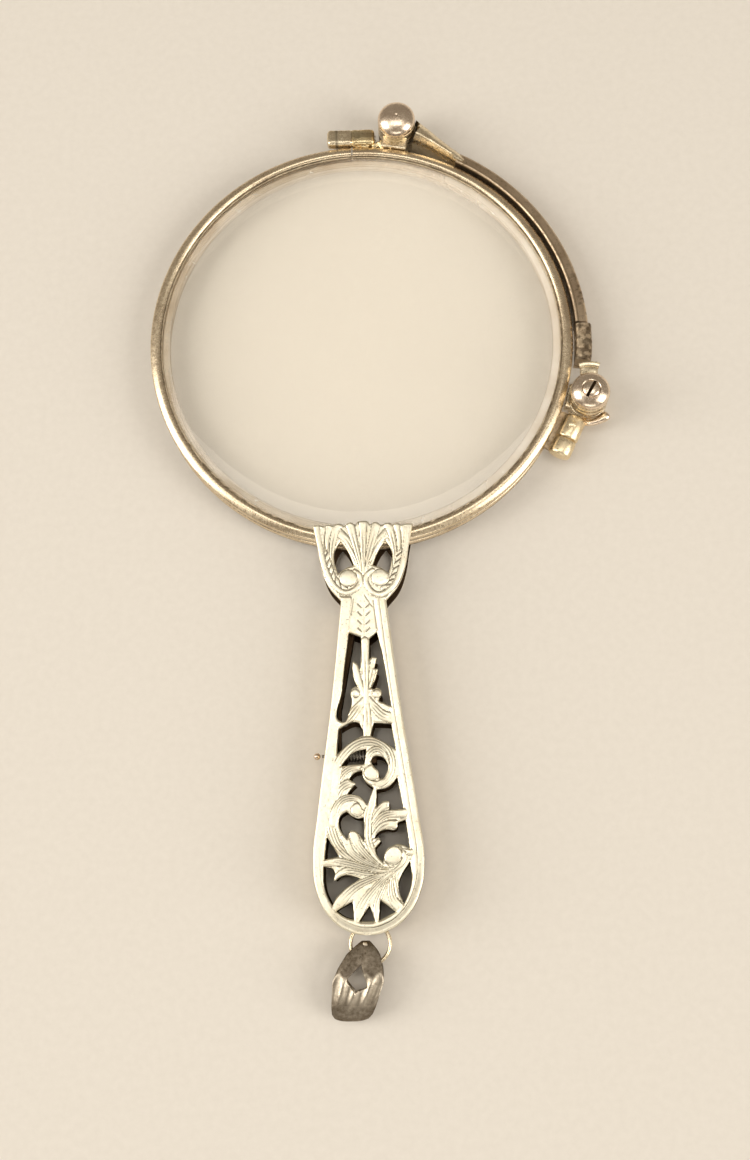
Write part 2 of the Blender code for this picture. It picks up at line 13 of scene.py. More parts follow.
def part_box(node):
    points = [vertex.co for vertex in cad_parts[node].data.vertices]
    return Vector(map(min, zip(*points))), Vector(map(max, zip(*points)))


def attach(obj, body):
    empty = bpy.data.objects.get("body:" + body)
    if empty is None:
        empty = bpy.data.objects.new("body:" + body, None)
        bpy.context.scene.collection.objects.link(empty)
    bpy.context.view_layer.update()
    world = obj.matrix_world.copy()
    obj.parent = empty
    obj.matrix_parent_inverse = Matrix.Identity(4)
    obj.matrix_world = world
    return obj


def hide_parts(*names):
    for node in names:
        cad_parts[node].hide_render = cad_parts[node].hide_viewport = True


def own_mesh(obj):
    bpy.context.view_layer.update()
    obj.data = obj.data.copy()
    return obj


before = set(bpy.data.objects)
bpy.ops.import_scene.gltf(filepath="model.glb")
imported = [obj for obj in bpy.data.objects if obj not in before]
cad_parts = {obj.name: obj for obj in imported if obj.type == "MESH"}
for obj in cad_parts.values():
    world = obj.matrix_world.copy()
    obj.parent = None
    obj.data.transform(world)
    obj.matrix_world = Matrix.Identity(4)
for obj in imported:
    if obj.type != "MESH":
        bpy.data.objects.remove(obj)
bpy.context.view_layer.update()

MM = 0.001
noise.seed_set(7)   # the noise vectors differ from run to run without it


def middle(node):
    low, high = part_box(node)
    return (low + high) / 2


CENTRE = middle("front_rim")
CENTRE.z = 0.0


def spot(x, y, z=0.0):
    """A place given in millimetres from the lens centre, in the row frame."""
    return CENTRE + Vector((x, y, z)) * MM


def from_lens(node):
    place = (middle(node) - CENTRE) / MM
    return place.x, place.y


HINGE_1 = from_lens("front_hinge_cap")
HINGE_2 = from_lens("bridge_hinge_cap")
FRONT_Z = middle("front_rim").z / MM
REAR_Z = middle("rear_rim").z / MM
MID_Z = middle("push_pin").z / MM
PIN_Y = from_lens("push_pin")[1]
RING_PLACE = from_lens("jump_ring")
BUTTON_X = from_lens("button_ball")[0]

# Heights of the handle's plates and of the hinge barrels, and the main radii.
BACK_LOW, BACK_HIGH = 0.0, 0.5
FRONT_LOW, FRONT_HIGH = 3.35, 3.95
LOWER_BARREL, UPPER_BARREL, CAP_LOW = (0.0, 1.8), (2.05, 3.7), 3.8
DRUM_R = 1.72
BAR_R = 19.97
RING_R, RING_WIRE, RING_ROOM = 1.65, 0.165, 0.46
LENS_R, GROUND_R = 17.27, 17.28

# ---------------------------------------------------------------- camera, floor and light

CAMERA_PLACE = (4.72, -50.66, 130.2)
CAMERA_PAN, CAMERA_PITCH, CAMERA_ROLL = radians(1.68), radians(12.6), radians(-0.79)
FOCAL_SHARE = 1500 / 1160
SENSOR = 36.0


def add_camera():
    data = bpy.data.cameras.new("camera")
    data.sensor_width = SENSOR
    data.lens = SENSOR * FOCAL_SHARE
    data.clip_start = 0.001
    camera = new_object("camera", data)
    turn = (Matrix.Rotation(CAMERA_PAN, 4, "Y") @ Matrix.Rotation(CAMERA_PITCH, 4, "X")
            @ Matrix.Rotation(CAMERA_ROLL, 4, "Z"))
    camera.matrix_world = Matrix.Translation(spot(*CAMERA_PLACE)) @ turn
    bpy.context.scene.camera = camera


def add_softbox(name, place, width, height, energy, colour=(1.0, 0.97, 0.91)):
    """A rectangular light at a place in millimetres, facing the middle of the object."""
    data = bpy.data.lights.new(name, "AREA")
    data.shape = "RECTANGLE"
    data.size, data.size_y = width * MM, height * MM
    data.energy = energy
    data.color = colour
    lamp = new_object(name, data)
    lamp.location = spot(*place)
    aim = spot(0, -16, 0) - lamp.location
    lamp.rotation_mode = "QUATERNION"
    lamp.rotation_quaternion = aim.to_track_quat("-Z", "Y")


def add_lights():
    add_softbox("overhead", (0, 22, 520), 420, 170, 0.5)
    add_softbox("left_key", (-430, -40, 300), 300, 480, 1.7)
    add_softbox("right_key", (420, -170, 300), 260, 420, 1.35)
    add_softbox("near_fill", (0, -520, 260), 500, 160, 0.5)
    world = bpy.data.worlds.new("studio")
    world.use_nodes = True
    back = world.node_tree.nodes["Background"]
    back.inputs["Color"].default_value = (0.66, 0.58, 0.48, 1)
    back.inputs["Strength"].default_value = 0.45
    bpy.context.scene.world = world
    bpy.context.scene.view_settings.view_transform = "Standard"


# ---------------------------------------------------------------- materials


def feed(tree, sockets, values):
    """Give each named socket its value, or a link from another node's socket."""
    for key, value in values.items():
        if isinstance(value, bpy.types.NodeSocket):
            tree.links.new(value, sockets[key])
        else:
            sockets[key].default_value = value


class Finish:
    """A procedural material in the making, with short calls for the nodes it is built from."""

    def __init__(self, name):
        self.material = bpy.data.materials.new(name)
        self.material.use_nodes = True
        self.tree = self.material.node_tree
        self.coords = self.node("ShaderNodeTexCoord").outputs["Object"]
        self.even = self.scaled((1, 1, 1))

    def node(self, kind, inputs=None, **settings):
        made = self.tree.nodes.new(kind)
        for key, value in settings.items():
            setattr(made, key, value)
        feed(self.tree, made.inputs, inputs or {})
        return made

    def shader(self, values):
        feed(self.tree, self.tree.nodes["Principled BSDF"].inputs, values)
        return self.material

    def scaled(self, scale, turn=(0, 0, 0)):
        made = self.node("ShaderNodeMapping", {"Vector": self.coords, "Rotation": turn,
                                               "Scale": tuple(s / MM for s in scale)})
        return made.outputs["Vector"]

    def cloud(self, scale, detail=4.0, rough=0.55, coords=None):
        made = self.node("ShaderNodeTexNoise", {"Vector": coords or self.even, "Scale": scale,
                                                "Detail": detail, "Roughness": rough})
        return made.outputs["Fac"]

    def ramp(self, value, low, high, out_low=0.0, out_high=1.0):
        made = self.node("ShaderNodeMapRange", {"Value": value, "From Min": low, "From Max": high,
                                                "To Min": out_low, "To Max": out_high})
        return made.outputs["Result"]

    def maths(self, operation, first, second):
        return self.node("ShaderNodeMath", {0: first, 1: second}, operation=operation).outputs["Value"]

    def times(self, first, second):
        return self.maths("MULTIPLY", first, second)

    def plus(self, first, second):
        return self.maths("ADD", first, second)

    def most(self, first, second):
        return self.maths("MAXIMUM", first, second)

    def blend(self, share, first, second):
        colours = {key: (*value, 1) if isinstance(value, tuple) else value
                   for key, value in ((6, first), (7, second))}
        return self.node("ShaderNodeMix", {"Factor": share, **colours}, data_type="RGBA").outputs[2]

    def scratches(self, turn, density):
        """Thin straight marks: a noise stretched far along one direction, cut to its crest."""
        stretched = self.scaled((9.0, 0.35, 0.35), (0, 0, radians(turn)))
        return self.ramp(self.cloud(1.0, 2.0, 0.5, stretched), density, density + 0.03)

    def oxide_and_shade(self):
        return self.node("ShaderNodeAttribute", attribute_name="oxide_and_shade").outputs["Fac"]

    def bump(self, height, strength, distance):
        made = self.node("ShaderNodeBump",
                         {"Height": height, "Strength": strength, "Distance": distance})
        return made.outputs["Normal"]


# Dark colour of tarnish in pits and hollows, also used for painted shade.
OXIDE_AND_SHADE = (0.055, 0.034, 0.016)


def metal(name, bright, dull, roughness, film, pits=0.5, grain=1.0, marked=0.25):
    """Old silver: a clean colour under a patchy film of tarnish, dark pits, fine scratches, and a
    dark mark where the mesh carries one: patina in the hollows, and painted shade."""
    f = Finish(name)
    patches = f.ramp(f.cloud(0.55, 6.0, 0.62), *film)
    mottle = f.ramp(f.cloud(3.2, 5.0, 0.65), 0.35, 0.7)
    tarnish = f.times(f.times(patches, 0.75), f.ramp(mottle, 0, 1, 0.55, 1.1))
    spots = f.ramp(f.cloud(5.5, 3.0, 0.6), 0.60, 0.70, 0.0, pits)
    marks = f.most(f.scratches(24, 0.68), f.scratches(-57, 0.70))
    # The mesh's mark gives dark patina in hollows and, on several pieces, painted shade.
    hollow = f.times(f.oxide_and_shade(), f.ramp(mottle, 0, 1, 0.8, 1.0))
    colour = f.blend(spots, f.blend(tarnish, bright, dull), OXIDE_AND_SHADE)
    colour = f.blend(f.times(marks, marked), colour, bright)
    shine = f.plus(f.ramp(mottle, 0, 1, roughness, roughness + 0.16), f.times(spots, 0.25))
    height = f.plus(f.times(f.cloud(4.5, 6.0, 0.7), 0.6 * grain), f.times(spots, -0.7))
    height = f.plus(height, f.times(marks, -1.2 * marked))
    return f.shader({"Base Color": f.blend(hollow, colour, OXIDE_AND_SHADE), "Metallic": 1.0,
                     "Roughness": f.plus(shine, f.times(hollow, 0.3)),
                     "Normal": f.bump(height, 0.6, 0.00003)})


GLASS_IOR = 1.45
SCUFFS = (((14.0, 3.6, 0), 4.1), ((15.6, -9.0, 0), 3.9))


def glass():
    """Clear aged glass with hairlines and two small scuffed patches."""
    f = Finish("lens_glass")
    marks = f.most(f.scratches(12, 0.735), f.scratches(71, 0.745))
    near = []
    for place, reach in SCUFFS:
        away = f.node("ShaderNodeVectorMath", {0: f.coords, 1: spot(*place) * Vector((1, 1, 0))},
                      operation="DISTANCE")
        near.append(f.ramp(away.outputs["Value"], 0.0, reach * MM, 1.0, 0.0))
    flecks = f.ramp(f.cloud(1.0, 3.0, coords=f.scaled((1.6, 3.4, 1))), 0.66, 0.74)
    worn = f.times(f.ramp(f.most(*near), 0.45, 0.8), flecks)
    damage = f.most(f.times(marks, 0.35), worn)
    smudge = f.ramp(f.cloud(0.16, 3.0, 0.5), 0.5, 0.75, 0.0, 0.02)
    return f.shader({"Base Color": f.blend(damage, (0.90, 0.89, 0.87), (0.98, 0.95, 0.90)),
                     "Roughness": f.plus(smudge, f.ramp(damage, 0, 1, 0.015, 0.5)),
                     "Transmission Weight": f.ramp(worn, 0, 1, 1.0, 0.35), "IOR": GLASS_IOR,
                     "Normal": f.bump(f.times(damage, -1.0), 0.25, 0.00001)})


def ground_glass():
    """The bevel round a lens: clear on the left, paler and hazier on the right, with chips."""
    f = Finish("ground_bevel")
    across = f.node("ShaderNodeSeparateXYZ", {0: f.coords}).outputs["X"]
    hazy = f.ramp(across, CENTRE.x - 4 * MM, CENTRE.x + 13 * MM)
    patches = f.ramp(f.cloud(0.35), 0.4, 0.65)
    chips = f.ramp(f.cloud(1.5, 2.0), 0.69, 0.72)
    colour = f.blend(patches, (0.93, 0.88, 0.80), (0.84, 0.77, 0.67))
    # Where the lens is marked, the bevel is painted dark brown: the shade line at its inner edge.
    colour = f.blend(f.oxide_and_shade(), colour, (0.42, 0.34, 0.25))
    clear = f.maths("SUBTRACT", f.ramp(hazy, 0, 1, 0.96, 0.62), f.times(chips, 0.5))
    return f.shader({"Base Color": f.blend(chips, colour, (1.0, 0.97, 0.90)),
                     "Roughness": f.ramp(hazy, 0, 1, 0.08, 0.3), "Transmission Weight": clear,
                     "IOR": GLASS_IOR, "Normal": f.bump(f.cloud(7.0), 0.15, 0.00001)})

HANDLE_SILVER = metal("handle_silver", (0.99, 0.93, 0.75), (0.88, 0.74, 0.51), 0.30, (0.48, 0.75),
    0.4, 1.2, 0.15)
BODY_SILVER = metal("body_silver", (0.88, 0.76, 0.55), (0.56, 0.43, 0.27), 0.20, (0.42, 0.7), 0.5,
    1.0, 0.15)
GILT_SILVER = metal("gilt_silver", (0.92, 0.76, 0.46), (0.50, 0.36, 0.18), 0.20, (0.40, 0.62),
    0.75, 2.0, 0.1)
RIM_SILVER = metal("rim_silver", (0.84, 0.70, 0.50), (0.54, 0.41, 0.27), 0.20, (0.44, 0.72), 0.3,
    0.5, 0.12)
BARREL_SILVER = metal("barrel_silver", (0.92, 0.78, 0.53), (0.60, 0.45, 0.27), 0.24, (0.45, 0.7),
    0.4, 0.6, 0.05)
DOME_SILVER = metal("dome_silver", (0.88, 0.73, 0.57), (0.62, 0.48, 0.36), 0.17, (0.45, 0.7), 0.35,
    0.7, 0.06)
BAR_SILVER = metal("bar_silver", (0.68, 0.54, 0.38), (0.38, 0.27, 0.17), 0.28, (0.36, 0.6), 0.7,
    1.3, 0.12)
ROUGH_SILVER = metal("rough_silver", (0.74, 0.60, 0.42), (0.30, 0.21, 0.13), 0.30, (0.38, 0.58),
    1.0, 2.6, 0.1)
BAIL_SILVER = metal("bail_silver", (0.66, 0.58, 0.46), (0.27, 0.22, 0.16), 0.24, (0.38, 0.62), 0.4,
    1.2, 0.2)
STEEL = metal("old_steel", (0.48, 0.45, 0.40), (0.28, 0.24, 0.19), 0.30, (0.4, 0.65), 0.6)
# Near-black silver: painted shade for the inside of the handle, the screw slot and the hidden latch
# parts.
PAINTED_SHADE = metal("painted_shade_silver", (0.10, 0.062, 0.033), (0.05, 0.03, 0.015), 0.62, (0.4, 0.65),
    0.6, 1.4)
GLASS = glass()
GROUND = ground_glass()

# ---------------------------------------------------------------- mesh helpers


def raw_mesh(name, points, faces):
    """A mesh from points in millimetres from the lens centre."""
    mesh = bpy.data.meshes.new(name)
    mesh.from_pydata([tuple(spot(*p)) for p in points], [], [tuple(f) for f in faces])
    return mesh


def face_outwards(mesh):
    shape = bmesh.new()
    shape.from_mesh(mesh)
    bmesh.ops.recalc_face_normals(shape, faces=shape.faces)
    shape.to_mesh(mesh)
    shape.free()


def new_object(name, data):
    made = bpy.data.objects.new(name, data)
    bpy.context.scene.collection.objects.link(made)
    return made


def apply_modifiers(piece):
    bpy.context.view_layer.update()
    seen = piece.evaluated_get(bpy.context.evaluated_depsgraph_get())
    piece.data = bpy.data.meshes.new_from_object(seen)
    piece.modifiers.clear()


def add_piece(name, points, faces, body, slot, finish, *nodes, sharp=40):
    """A mesh piece from points in millimetres, riding on a body and standing for CAD nodes."""
    return finish_piece(name, raw_mesh(name, points, faces), body, finish, nodes, sharp)


def finish_piece(name, mesh, body, finish, nodes=(), sharp=40):
    face_outwards(mesh)
    mesh.shade_smooth()
    mesh.set_sharp_from_angle(angle=radians(sharp))
    mesh.materials.append(finish)
    piece = new_object(name, mesh)
    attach(piece, body)
    if nodes:
        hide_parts(*nodes)
    return piece


def turned(profile, steps, start=0.0, end=360.0, closed=False):
    """Points and faces of a (radius, height) profile turned about Z, whole or over an arc."""
    whole = abs(end - start) >= 360
    count = steps if whole else steps + 1
    points, faces, rings = [], [], []
    for radius, height in profile:
        if radius == 0 and whole:
            rings.append([len(points)] * count)
            points.append((0, 0, height))
            continue
        rings.append(list(range(len(points), len(points) + count)))
        for i in range(count):
            angle = radians(start + (end - start) * i / steps)
            points.append((radius * cos(angle), radius * sin(angle), height))
    pairs = list(zip(rings, rings[1:])) + ([(rings[-1], rings[0])] if closed else [])
    for near, far in pairs:
        for i in range(steps):
            j = (i + 1) % count
            corners = [near[i], near[j], far[j], far[i]]
            faces.append([c for k, c in enumerate(corners) if c != corners[k - 1]])
    if not whole:
        faces.append([ring[0] for ring in rings])
        faces.append([ring[-1] for ring in rings][::-1])
    return points, faces


def at(shape, place, turn=None):
    """A shape, as points and faces, turned and then moved to a place of two or three numbers."""
    points, faces = shape
    shift = Vector((*place, 0)[:3])
    return [tuple((turn @ Vector(p) if turn else Vector(p)) + shift) for p in points], faces


def joined(*shapes):
    points, faces = [], []
    for more, loops in shapes:
        faces += [[i + len(points) for i in loop] for loop in loops]
        points += list(more)
    return points, faces


def spline(points, per=8, closed=False):
    """A smooth line through points: Catmull-Rom, in any number of dimensions."""
    knots = np.array(points, float)
    if closed:
        knots = np.vstack([knots[-1], knots, knots[:2]])
    else:
        knots = np.vstack([2 * knots[0] - knots[1], knots, 2 * knots[-1] - knots[-2]])
    line = []
    for a, b, c, d in zip(knots, knots[1:], knots[2:], knots[3:]):
        for i in range(per):
            t = i / per
            line.append(0.5 * (2 * b + (c - a) * t + (2 * a - 5 * b + 4 * c - d) * t * t
                               + (3 * b - a - 3 * c + d) * t ** 3))
    if not closed:
        line.append(knots[-2])
    return np.array(line)


def tube(line, radii, sides=16, flat=1.0, closed=False):
    """A round or flattened wire along a line, with one radius per point and rounded ends."""
    line = [Vector(p) for p in line]
    count, points, side = len(line), [], None
    for i, here in enumerate(line):
        after = line[(i + 1) % count] if closed or i < count - 1 else here
        before = line[i - 1] if closed or i else here
        along = (after - before).normalized()
        if side is None:
            side = along.cross(Vector((0, 0, 1))) if abs(along.z) < 0.9 else Vector((1, 0, 0))
        side = (side - along * side.dot(along)).normalized()
        up = along.cross(side)
        for j in range(sides):
            turn = 2 * pi * j / sides
            points.append(tuple(here + side * (cos(turn) * radii[i])
                                + up * (sin(turn) * radii[i] * flat)))
    return points, tube_faces(count, sides, closed)


def tube_faces(count, sides, closed=False):
    """Faces between rings of points that follow each other, with a cap on each open end."""
    faces = []
    for i in range(count if closed else count - 1):
        for j in range(sides):
            k, n = (j + 1) % sides, (i + 1) % count
            faces.append((i * sides + j, i * sides + k, n * sides + k, n * sides + j))
    if not closed:
        faces.append(tuple(range(sides))[::-1])
        faces.append(tuple((count - 1) * sides + j for j in range(sides)))
    return faces


def soft_box(low, high, corner, cells=14):
    """A box with rounded edges, dense enough to be roughened."""
    low, high = Vector(low), Vector(high)
    size, core = high - low, Vector((corner, corner, corner))
    shape = bmesh.new()
    bmesh.ops.create_cube(shape, size=1.0)
    bmesh.ops.subdivide_edges(shape, edges=shape.edges, cuts=cells, use_grid_fill=True)
    for vert in shape.verts:
        spread = [(0.5 + 0.5 * sin(c * pi)) if abs(c) < 0.5 else (c + 0.5) for c in vert.co]
        place = Vector(low[i] + size[i] * spread[i] for i in range(3))
        inside = Vector(min(max(place[i], low[i] + core[i]), high[i] - core[i]) for i in range(3))
        out = place - inside
        vert.co = inside + out.normalized() * corner if out.length > 1e-9 else place
    points = [tuple(v.co) for v in shape.verts]
    faces = [[v.index for v in f.verts] for f in shape.faces]
    shape.free()
    return points, faces


def roughened(shape, amount, scale, seed=0.0):
    """A shape whose points are shaken by a smooth noise, for cast and pitted surfaces."""
    made = []
    for p in shape[0]:
        push = noise.noise_vector(Vector(p) * scale + Vector((seed, seed * 1.7, 0)))
        made.append(tuple(Vector(p) + push * amount))
    return made, shape[1]


def cut(piece, *cutters):
    """Cut temporary shapes out of a piece and keep the result as its mesh."""
    tools = []
    for cutter in cutters:
        mesh = raw_mesh("cutter", *cutter)
        face_outwards(mesh)
        tools.append(new_object("cutter", mesh))
        modifier = piece.modifiers.new("cut", "BOOLEAN")
        modifier.solver = "EXACT"
        modifier.object = tools[-1]
    apply_modifiers(piece)
    for tool in tools:
        bpy.data.objects.remove(tool, do_unlink=True)


def stain_and_shade(piece, rule):
    """Mark where grime and painted shade lie: rule takes a place in millimetres from the lens centre,
    gives 0 to 1.
    """
    mesh = piece.data
    marks = mesh.attributes.new("oxide_and_shade", "FLOAT", "POINT")
    marks.data.foreach_set("value", [float(rule(*((v.co - CENTRE) / MM))) for v in mesh.vertices])


def paint_shade(piece, rule):
    """Give the faces whose middle and normal fit the rule the near-black finish: painted shade where
    light hardly reaches.
    """
    piece.data.materials.append(PAINTED_SHADE)
    slot = len(piece.data.materials) - 1
    for face in piece.data.polygons:
        if rule((face.center - CENTRE) / MM, face.normal):
            face.material_index = slot


# ---------------------------------------------------------------- handle plates


def outline_line(knots, per=10):
    """A closed outline with sharp corners where a knot ends in 'c', smooth elsewhere."""
    count = len(knots)
    places = [np.array(k[:2], float) for k in knots]
    handles = []
    for i in range(count):
        here, before, after = places[i], places[i - 1], places[(i + 1) % count]
        back, fore = np.linalg.norm(here - before), np.linalg.norm(after - here)
        if len(knots[i]) == 3:
            handles.append((here + (before - here) / 3, here + (after - here) / 3))
        else:
            lean = (here - before) / back + (after - here) / fore
            lean = lean / (np.linalg.norm(lean) * 2.5614)
            handles.append((here - lean * back, here + lean * fore))
    line = []
    for i in range(count):
        j = (i + 1) % count
        a, b, c, d = places[i], handles[i][1], handles[j][0], places[j]
        for k in range(per):
            t = k / per
            s = 1 - t
            line.append(a * s ** 3 + b * 3 * s * s * t + c * 3 * s * t * t + d * t ** 3)
    return np.array(line)


def mirrored(points):
    return [(-p[0], *p[1:]) for p in points]


SHAFT = [(-2.85, -32.85), (-4.05, -42.1), (-4.47, -46.35), (-4.15, -48.8), (-3.0, -50.9),
         (-1.5, -51.95)]
SHAFT_WIDER = [0.15, 0.28, 0.32, 0.26, 0.15, 0.05]
RIGHT_SHAFT = [(-x + wider, y) for (x, y), wider in zip(SHAFT, SHAFT_WIDER)]


def plate_outline():
    crest = [(-4.35, -17.45, "c"), (-4.0, -19.2), (-3.65, -21.2), (-3.05, -22.8),
             (-1.95, -24.15, "c")]
    top = [(-0.5, -17.2), (-0.62, -17.42, "c"), (-1.1, -17.22), (-1.62, -17.5, "c"), (-2.2, -17.3),
           (-2.6, -17.5, "c"), (-3.0, -17.35), (-3.35, -17.52, "c"), (-3.8, -17.4)]
    right = RIGHT_SHAFT[::-1] + mirrored(crest)[::-1]
    return [(0.0, -17.12)] + top + crest + SHAFT + [(0.0, -52.25)] + right + mirrored(top)[::-1]


# The holes of both handle plates, from the crest to the rounded end.
HOLES = {
    "crest_left": [(-1.95, -18.85, "c"), (-2.5, -19.9), (-2.45, -20.9), (-2.2, -21.8, "c"),
        (-1.5, -21.3), (-0.8, -21.05, "c"), (-1.25, -19.9)],
    "stem_left": [(-1.3, -26.95, "c"), (-0.27, -27.35, "c"), (-0.3, -29.6), (-0.4, -30.3, "c"),
        (-0.6, -29.72), (-0.98, -29.45, "c"), (-1.02, -30.2), (-0.88, -31.05), (-0.6, -31.7, "c"),
        (-0.87, -31.66), (-1.2, -32.15), (-1.1, -32.85), (-1.25, -33.6), (-1.95, -34.65),
        (-1.9, -31.8)],
    "stem_right": [(0.45, -27.5, "c"), (1.12, -26.93, "c"), (1.72, -29.9), (2.25, -33.4, "c"),
        (1.65, -33.1), (1.2, -32.8), (1.45, -32.35), (1.15, -31.78), (0.8, -31.88), (0.52, -31.8, "c"),
        (0.86, -31.2), (1.17, -30.2, "c"), (0.82, -30.1, "c"), (1.07, -29.2, "c"), (0.65, -29.12),
        (0.42, -29.4, "c")],
    "wing_left": [(-2.25, -35.25, "c"), (-0.95, -34.65), (-0.5, -34.75, "c"), (-0.2, -35.45),
        (-0.15, -35.8, "c"), (-1.05, -36.25), (-1.75, -36.75), (-2.4, -37.45, "c")],
    "wing_right": [(0.75, -34.75, "c"), (2.2, -34.85, "c"), (2.55, -37.05, "c"), (1.9, -36.6),
        (1.0, -36.1), (0.45, -35.85, "c"), (0.55, -35.45)],
    "spring_window": [(-2.1, -38.4, "c"), (-1.6, -37.8), (-0.9, -37.2), (0.1, -36.95, "c"),
        (-0.1, -38.25, "c"), (-1.2, -38.3)],
    "scroll_eye": [(0.5, -37.85), (1.1, -37.55), (1.85, -38.25), (1.75, -39), (1.3, -39.5),
        (1.05, -38.8), (0.7, -38.45)],
    "leaf_gap": [(-1.43, -39.5, "c"), (-1.0, -39.0), (-0.27, -38.75, "c"), (-0.25, -39.25),
        (0.07, -39.8), (0.65, -40.22, "c"), (0.38, -40.95), (0.15, -41.6, "c"), (-0.2, -41.2),
        (-0.75, -40.85), (-1.57, -40.75, "c"), (-1.3, -40.35), (-0.83, -39.87, "c")],
    "stem_gap": [(0.9, -40.4, "c"), (1.9, -40.15), (2.65, -39.35, "c"), (3.12, -42.0, "c"),
        (1.95, -42.1, "c"), (1.93, -41.35, "c"), (1.4, -41.4), (0.87, -41.9, "c")],
    "scroll_low": [(-2.2, -42.6), (-1.65, -42.15, "c"), (-0.9, -42.7), (-0.2, -42.7, "c"),
        (-0.15, -44.65, "c"), (-1.2, -43.75), (-1.6, -44.45, "c"), (-2.25, -43.45)],
    "palm_right": [(0.62, -44.4, "c"), (0.95, -43.95), (1.6, -43.7), (2.5, -43.65), (2.6, -43.15, "c"),
        (3.3, -42.9, "c"), (3.6, -45.3, "c"), (2.95, -44.95), (2.15, -45.03), (1.62, -45.47),
        (1.42, -46.05), (1.4, -46.45, "c"), (0.85, -45.75), (0.72, -45.2, "c"), (1.2, -44.65, "c"),
        (1.05, -44.35, "c")],
    "low_left": [(-3.3, -44.2, "c"), (-2.3, -45.85, "c"), (-3.5, -46.1, "c")],
    "leaf_left": [(-3.6, -46.65, "c"), (-2.75, -46.95), (-2.7, -47.85, "c"), (-1.9, -47.4),
        (-0.5, -47.65, "c"), (-2.3, -48.9), (-2.9, -49.9, "c"), (-3.5, -48.5)],
    "leaf_right": [(3.6, -46.25, "c"), (3.7, -48.05), (3.05, -49.85, "c"), (2.6, -48.25)],
    "end_left": [(-2.6, -50.3, "c"), (-1.2, -49.5, "c"), (-1.1, -51, "c"), (-1.9, -50.75)],
    "end_middle": [(-0.7, -51.15, "c"), (0.2, -49.85, "c"), (0.65, -51.15, "c")],
    "end_right": [(0.95, -51.1, "c"), (1.05, -49.4, "c"), (2.35, -50.4, "c")],
}


def piercings():
    return [*HOLES.values(), mirrored(HOLES["crest_left"])]


# Raised strokes of the ornament: points, half width at the start and at the end, rise above the
# plate, and the number of grooves cut along them.
CREST = [
    ([(0.0, -21.9), (-0.75, -20.0), (-1.3, -18.9), (-2.05, -18.1)], 0.12, 0.4, 0.15, 1),
    ([(0.05, -21.9), (0.8, -20.0), (1.4, -18.9), (2.15, -18.1)], 0.12, 0.4, 0.15, 1),
    ([(0.0, -22.1), (-0.45, -20.1), (-0.8, -18.6), (-1.15, -17.2)], 0.12, 0.42, 0.17, 1),
    ([(0.05, -22.1), (0.5, -20.1), (0.9, -18.6), (1.25, -17.2)], 0.12, 0.42, 0.17, 1),
    ([(0.03, -22.2), (0.03, -20.0), (0.03, -17.0)], 0.12, 0.4, 0.2, 1),
    ([(-2.15, -17.3), (-2.5, -18.5), (-2.7, -19.9), (-2.6, -21.3)], 0.38, 0.14, 0.14, 1),
    ([(2.2, -17.3), (2.55, -18.5), (2.75, -19.9), (2.7, -21.3)], 0.38, 0.14, 0.14, 1),
    ([(-3.45, -17.4), (-3.5, -18.7), (-3.35, -20.2)], 0.26, 0.12, 0.14, 0),
    ([(3.5, -17.4), (3.55, -18.7), (3.4, -20.2)], 0.26, 0.12, 0.14, 0),
    ([(-2.85, -17.3), (-3.1, -18.7), (-3.05, -20.3)], 0.3, 0.12, 0.16, 0),
    ([(2.95, -17.3), (3.15, -18.7), (3.1, -20.3)], 0.3, 0.12, 0.16, 0),
    ([(-3.2, -19.9), (-2.9, -21.2), (-2.45, -22.3), (-1.6, -23.0)], 0.28, 0.3, 0.13, -6),
    ([(3.25, -19.9), (2.95, -21.2), (2.5, -22.4), (1.75, -23.15)], 0.28, 0.3, 0.13, -6),
    ([(-4.05, -17.5), (-3.72, -19.4), (-3.35, -21.1), (-2.65, -22.65), (-1.7, -23.45), (-0.8, -23.25),
      (-0.28, -22.6), (-0.3, -21.95), (-0.75, -21.6)], 0.3, 0.24, 0.2, 0),
    ([(4.05, -17.5), (3.77, -19.4), (3.4, -21.1), (2.75, -22.7), (1.75, -23.6), (0.85, -23.5),
      (0.28, -22.7), (0.3, -21.95), (0.8, -21.55)], 0.3, 0.24, 0.2, 0),
    ([(-1.33, -22.2), (-1.27, -22.18)], 0.76, 0.76, 0.21, 0),
    ([(1.45, -22.18), (1.51, -22.16)], 0.78, 0.78, 0.21, 0),
]
STEM = [
    ([(0.0, -32.8), (-0.75, -33.6), (-1.4, -34.4), (-2.2, -35.0)], 0.3, 0.5, 0.16, 2),
    ([(0.3, -32.8), (0.9, -33.5), (1.5, -34.1), (2.3, -34.4)], 0.3, 0.5, 0.16, 2),
    ([(0.15, -32.7), (0.2, -34.3), (0.18, -35.7)], 0.24, 0.42, 0.2, 1),
    ([(0.2, -32.5), (0.75, -31.3), (1.15, -30.2)], 0.16, 0.3, 0.15, 0),
    ([(0.15, -32.4), (0.6, -30.8), (0.95, -29.2)], 0.16, 0.36, 0.15, 1),
    ([(0.1, -32.6), (-0.5, -31.0), (-0.95, -29.4)], 0.18, 0.36, 0.15, 0),
    ([(0.15, -33.0), (0.12, -31.4), (0.1, -29.6), (0.08, -27.75)], 0.2, 0.4, 0.2, 1),
    ([(-0.8, -32.2), (-0.76, -32.22)], 0.38, 0.38, 0.2, 0),
    ([(1.02, -32.3), (1.06, -32.28)], 0.38, 0.38, 0.2, 0),
]
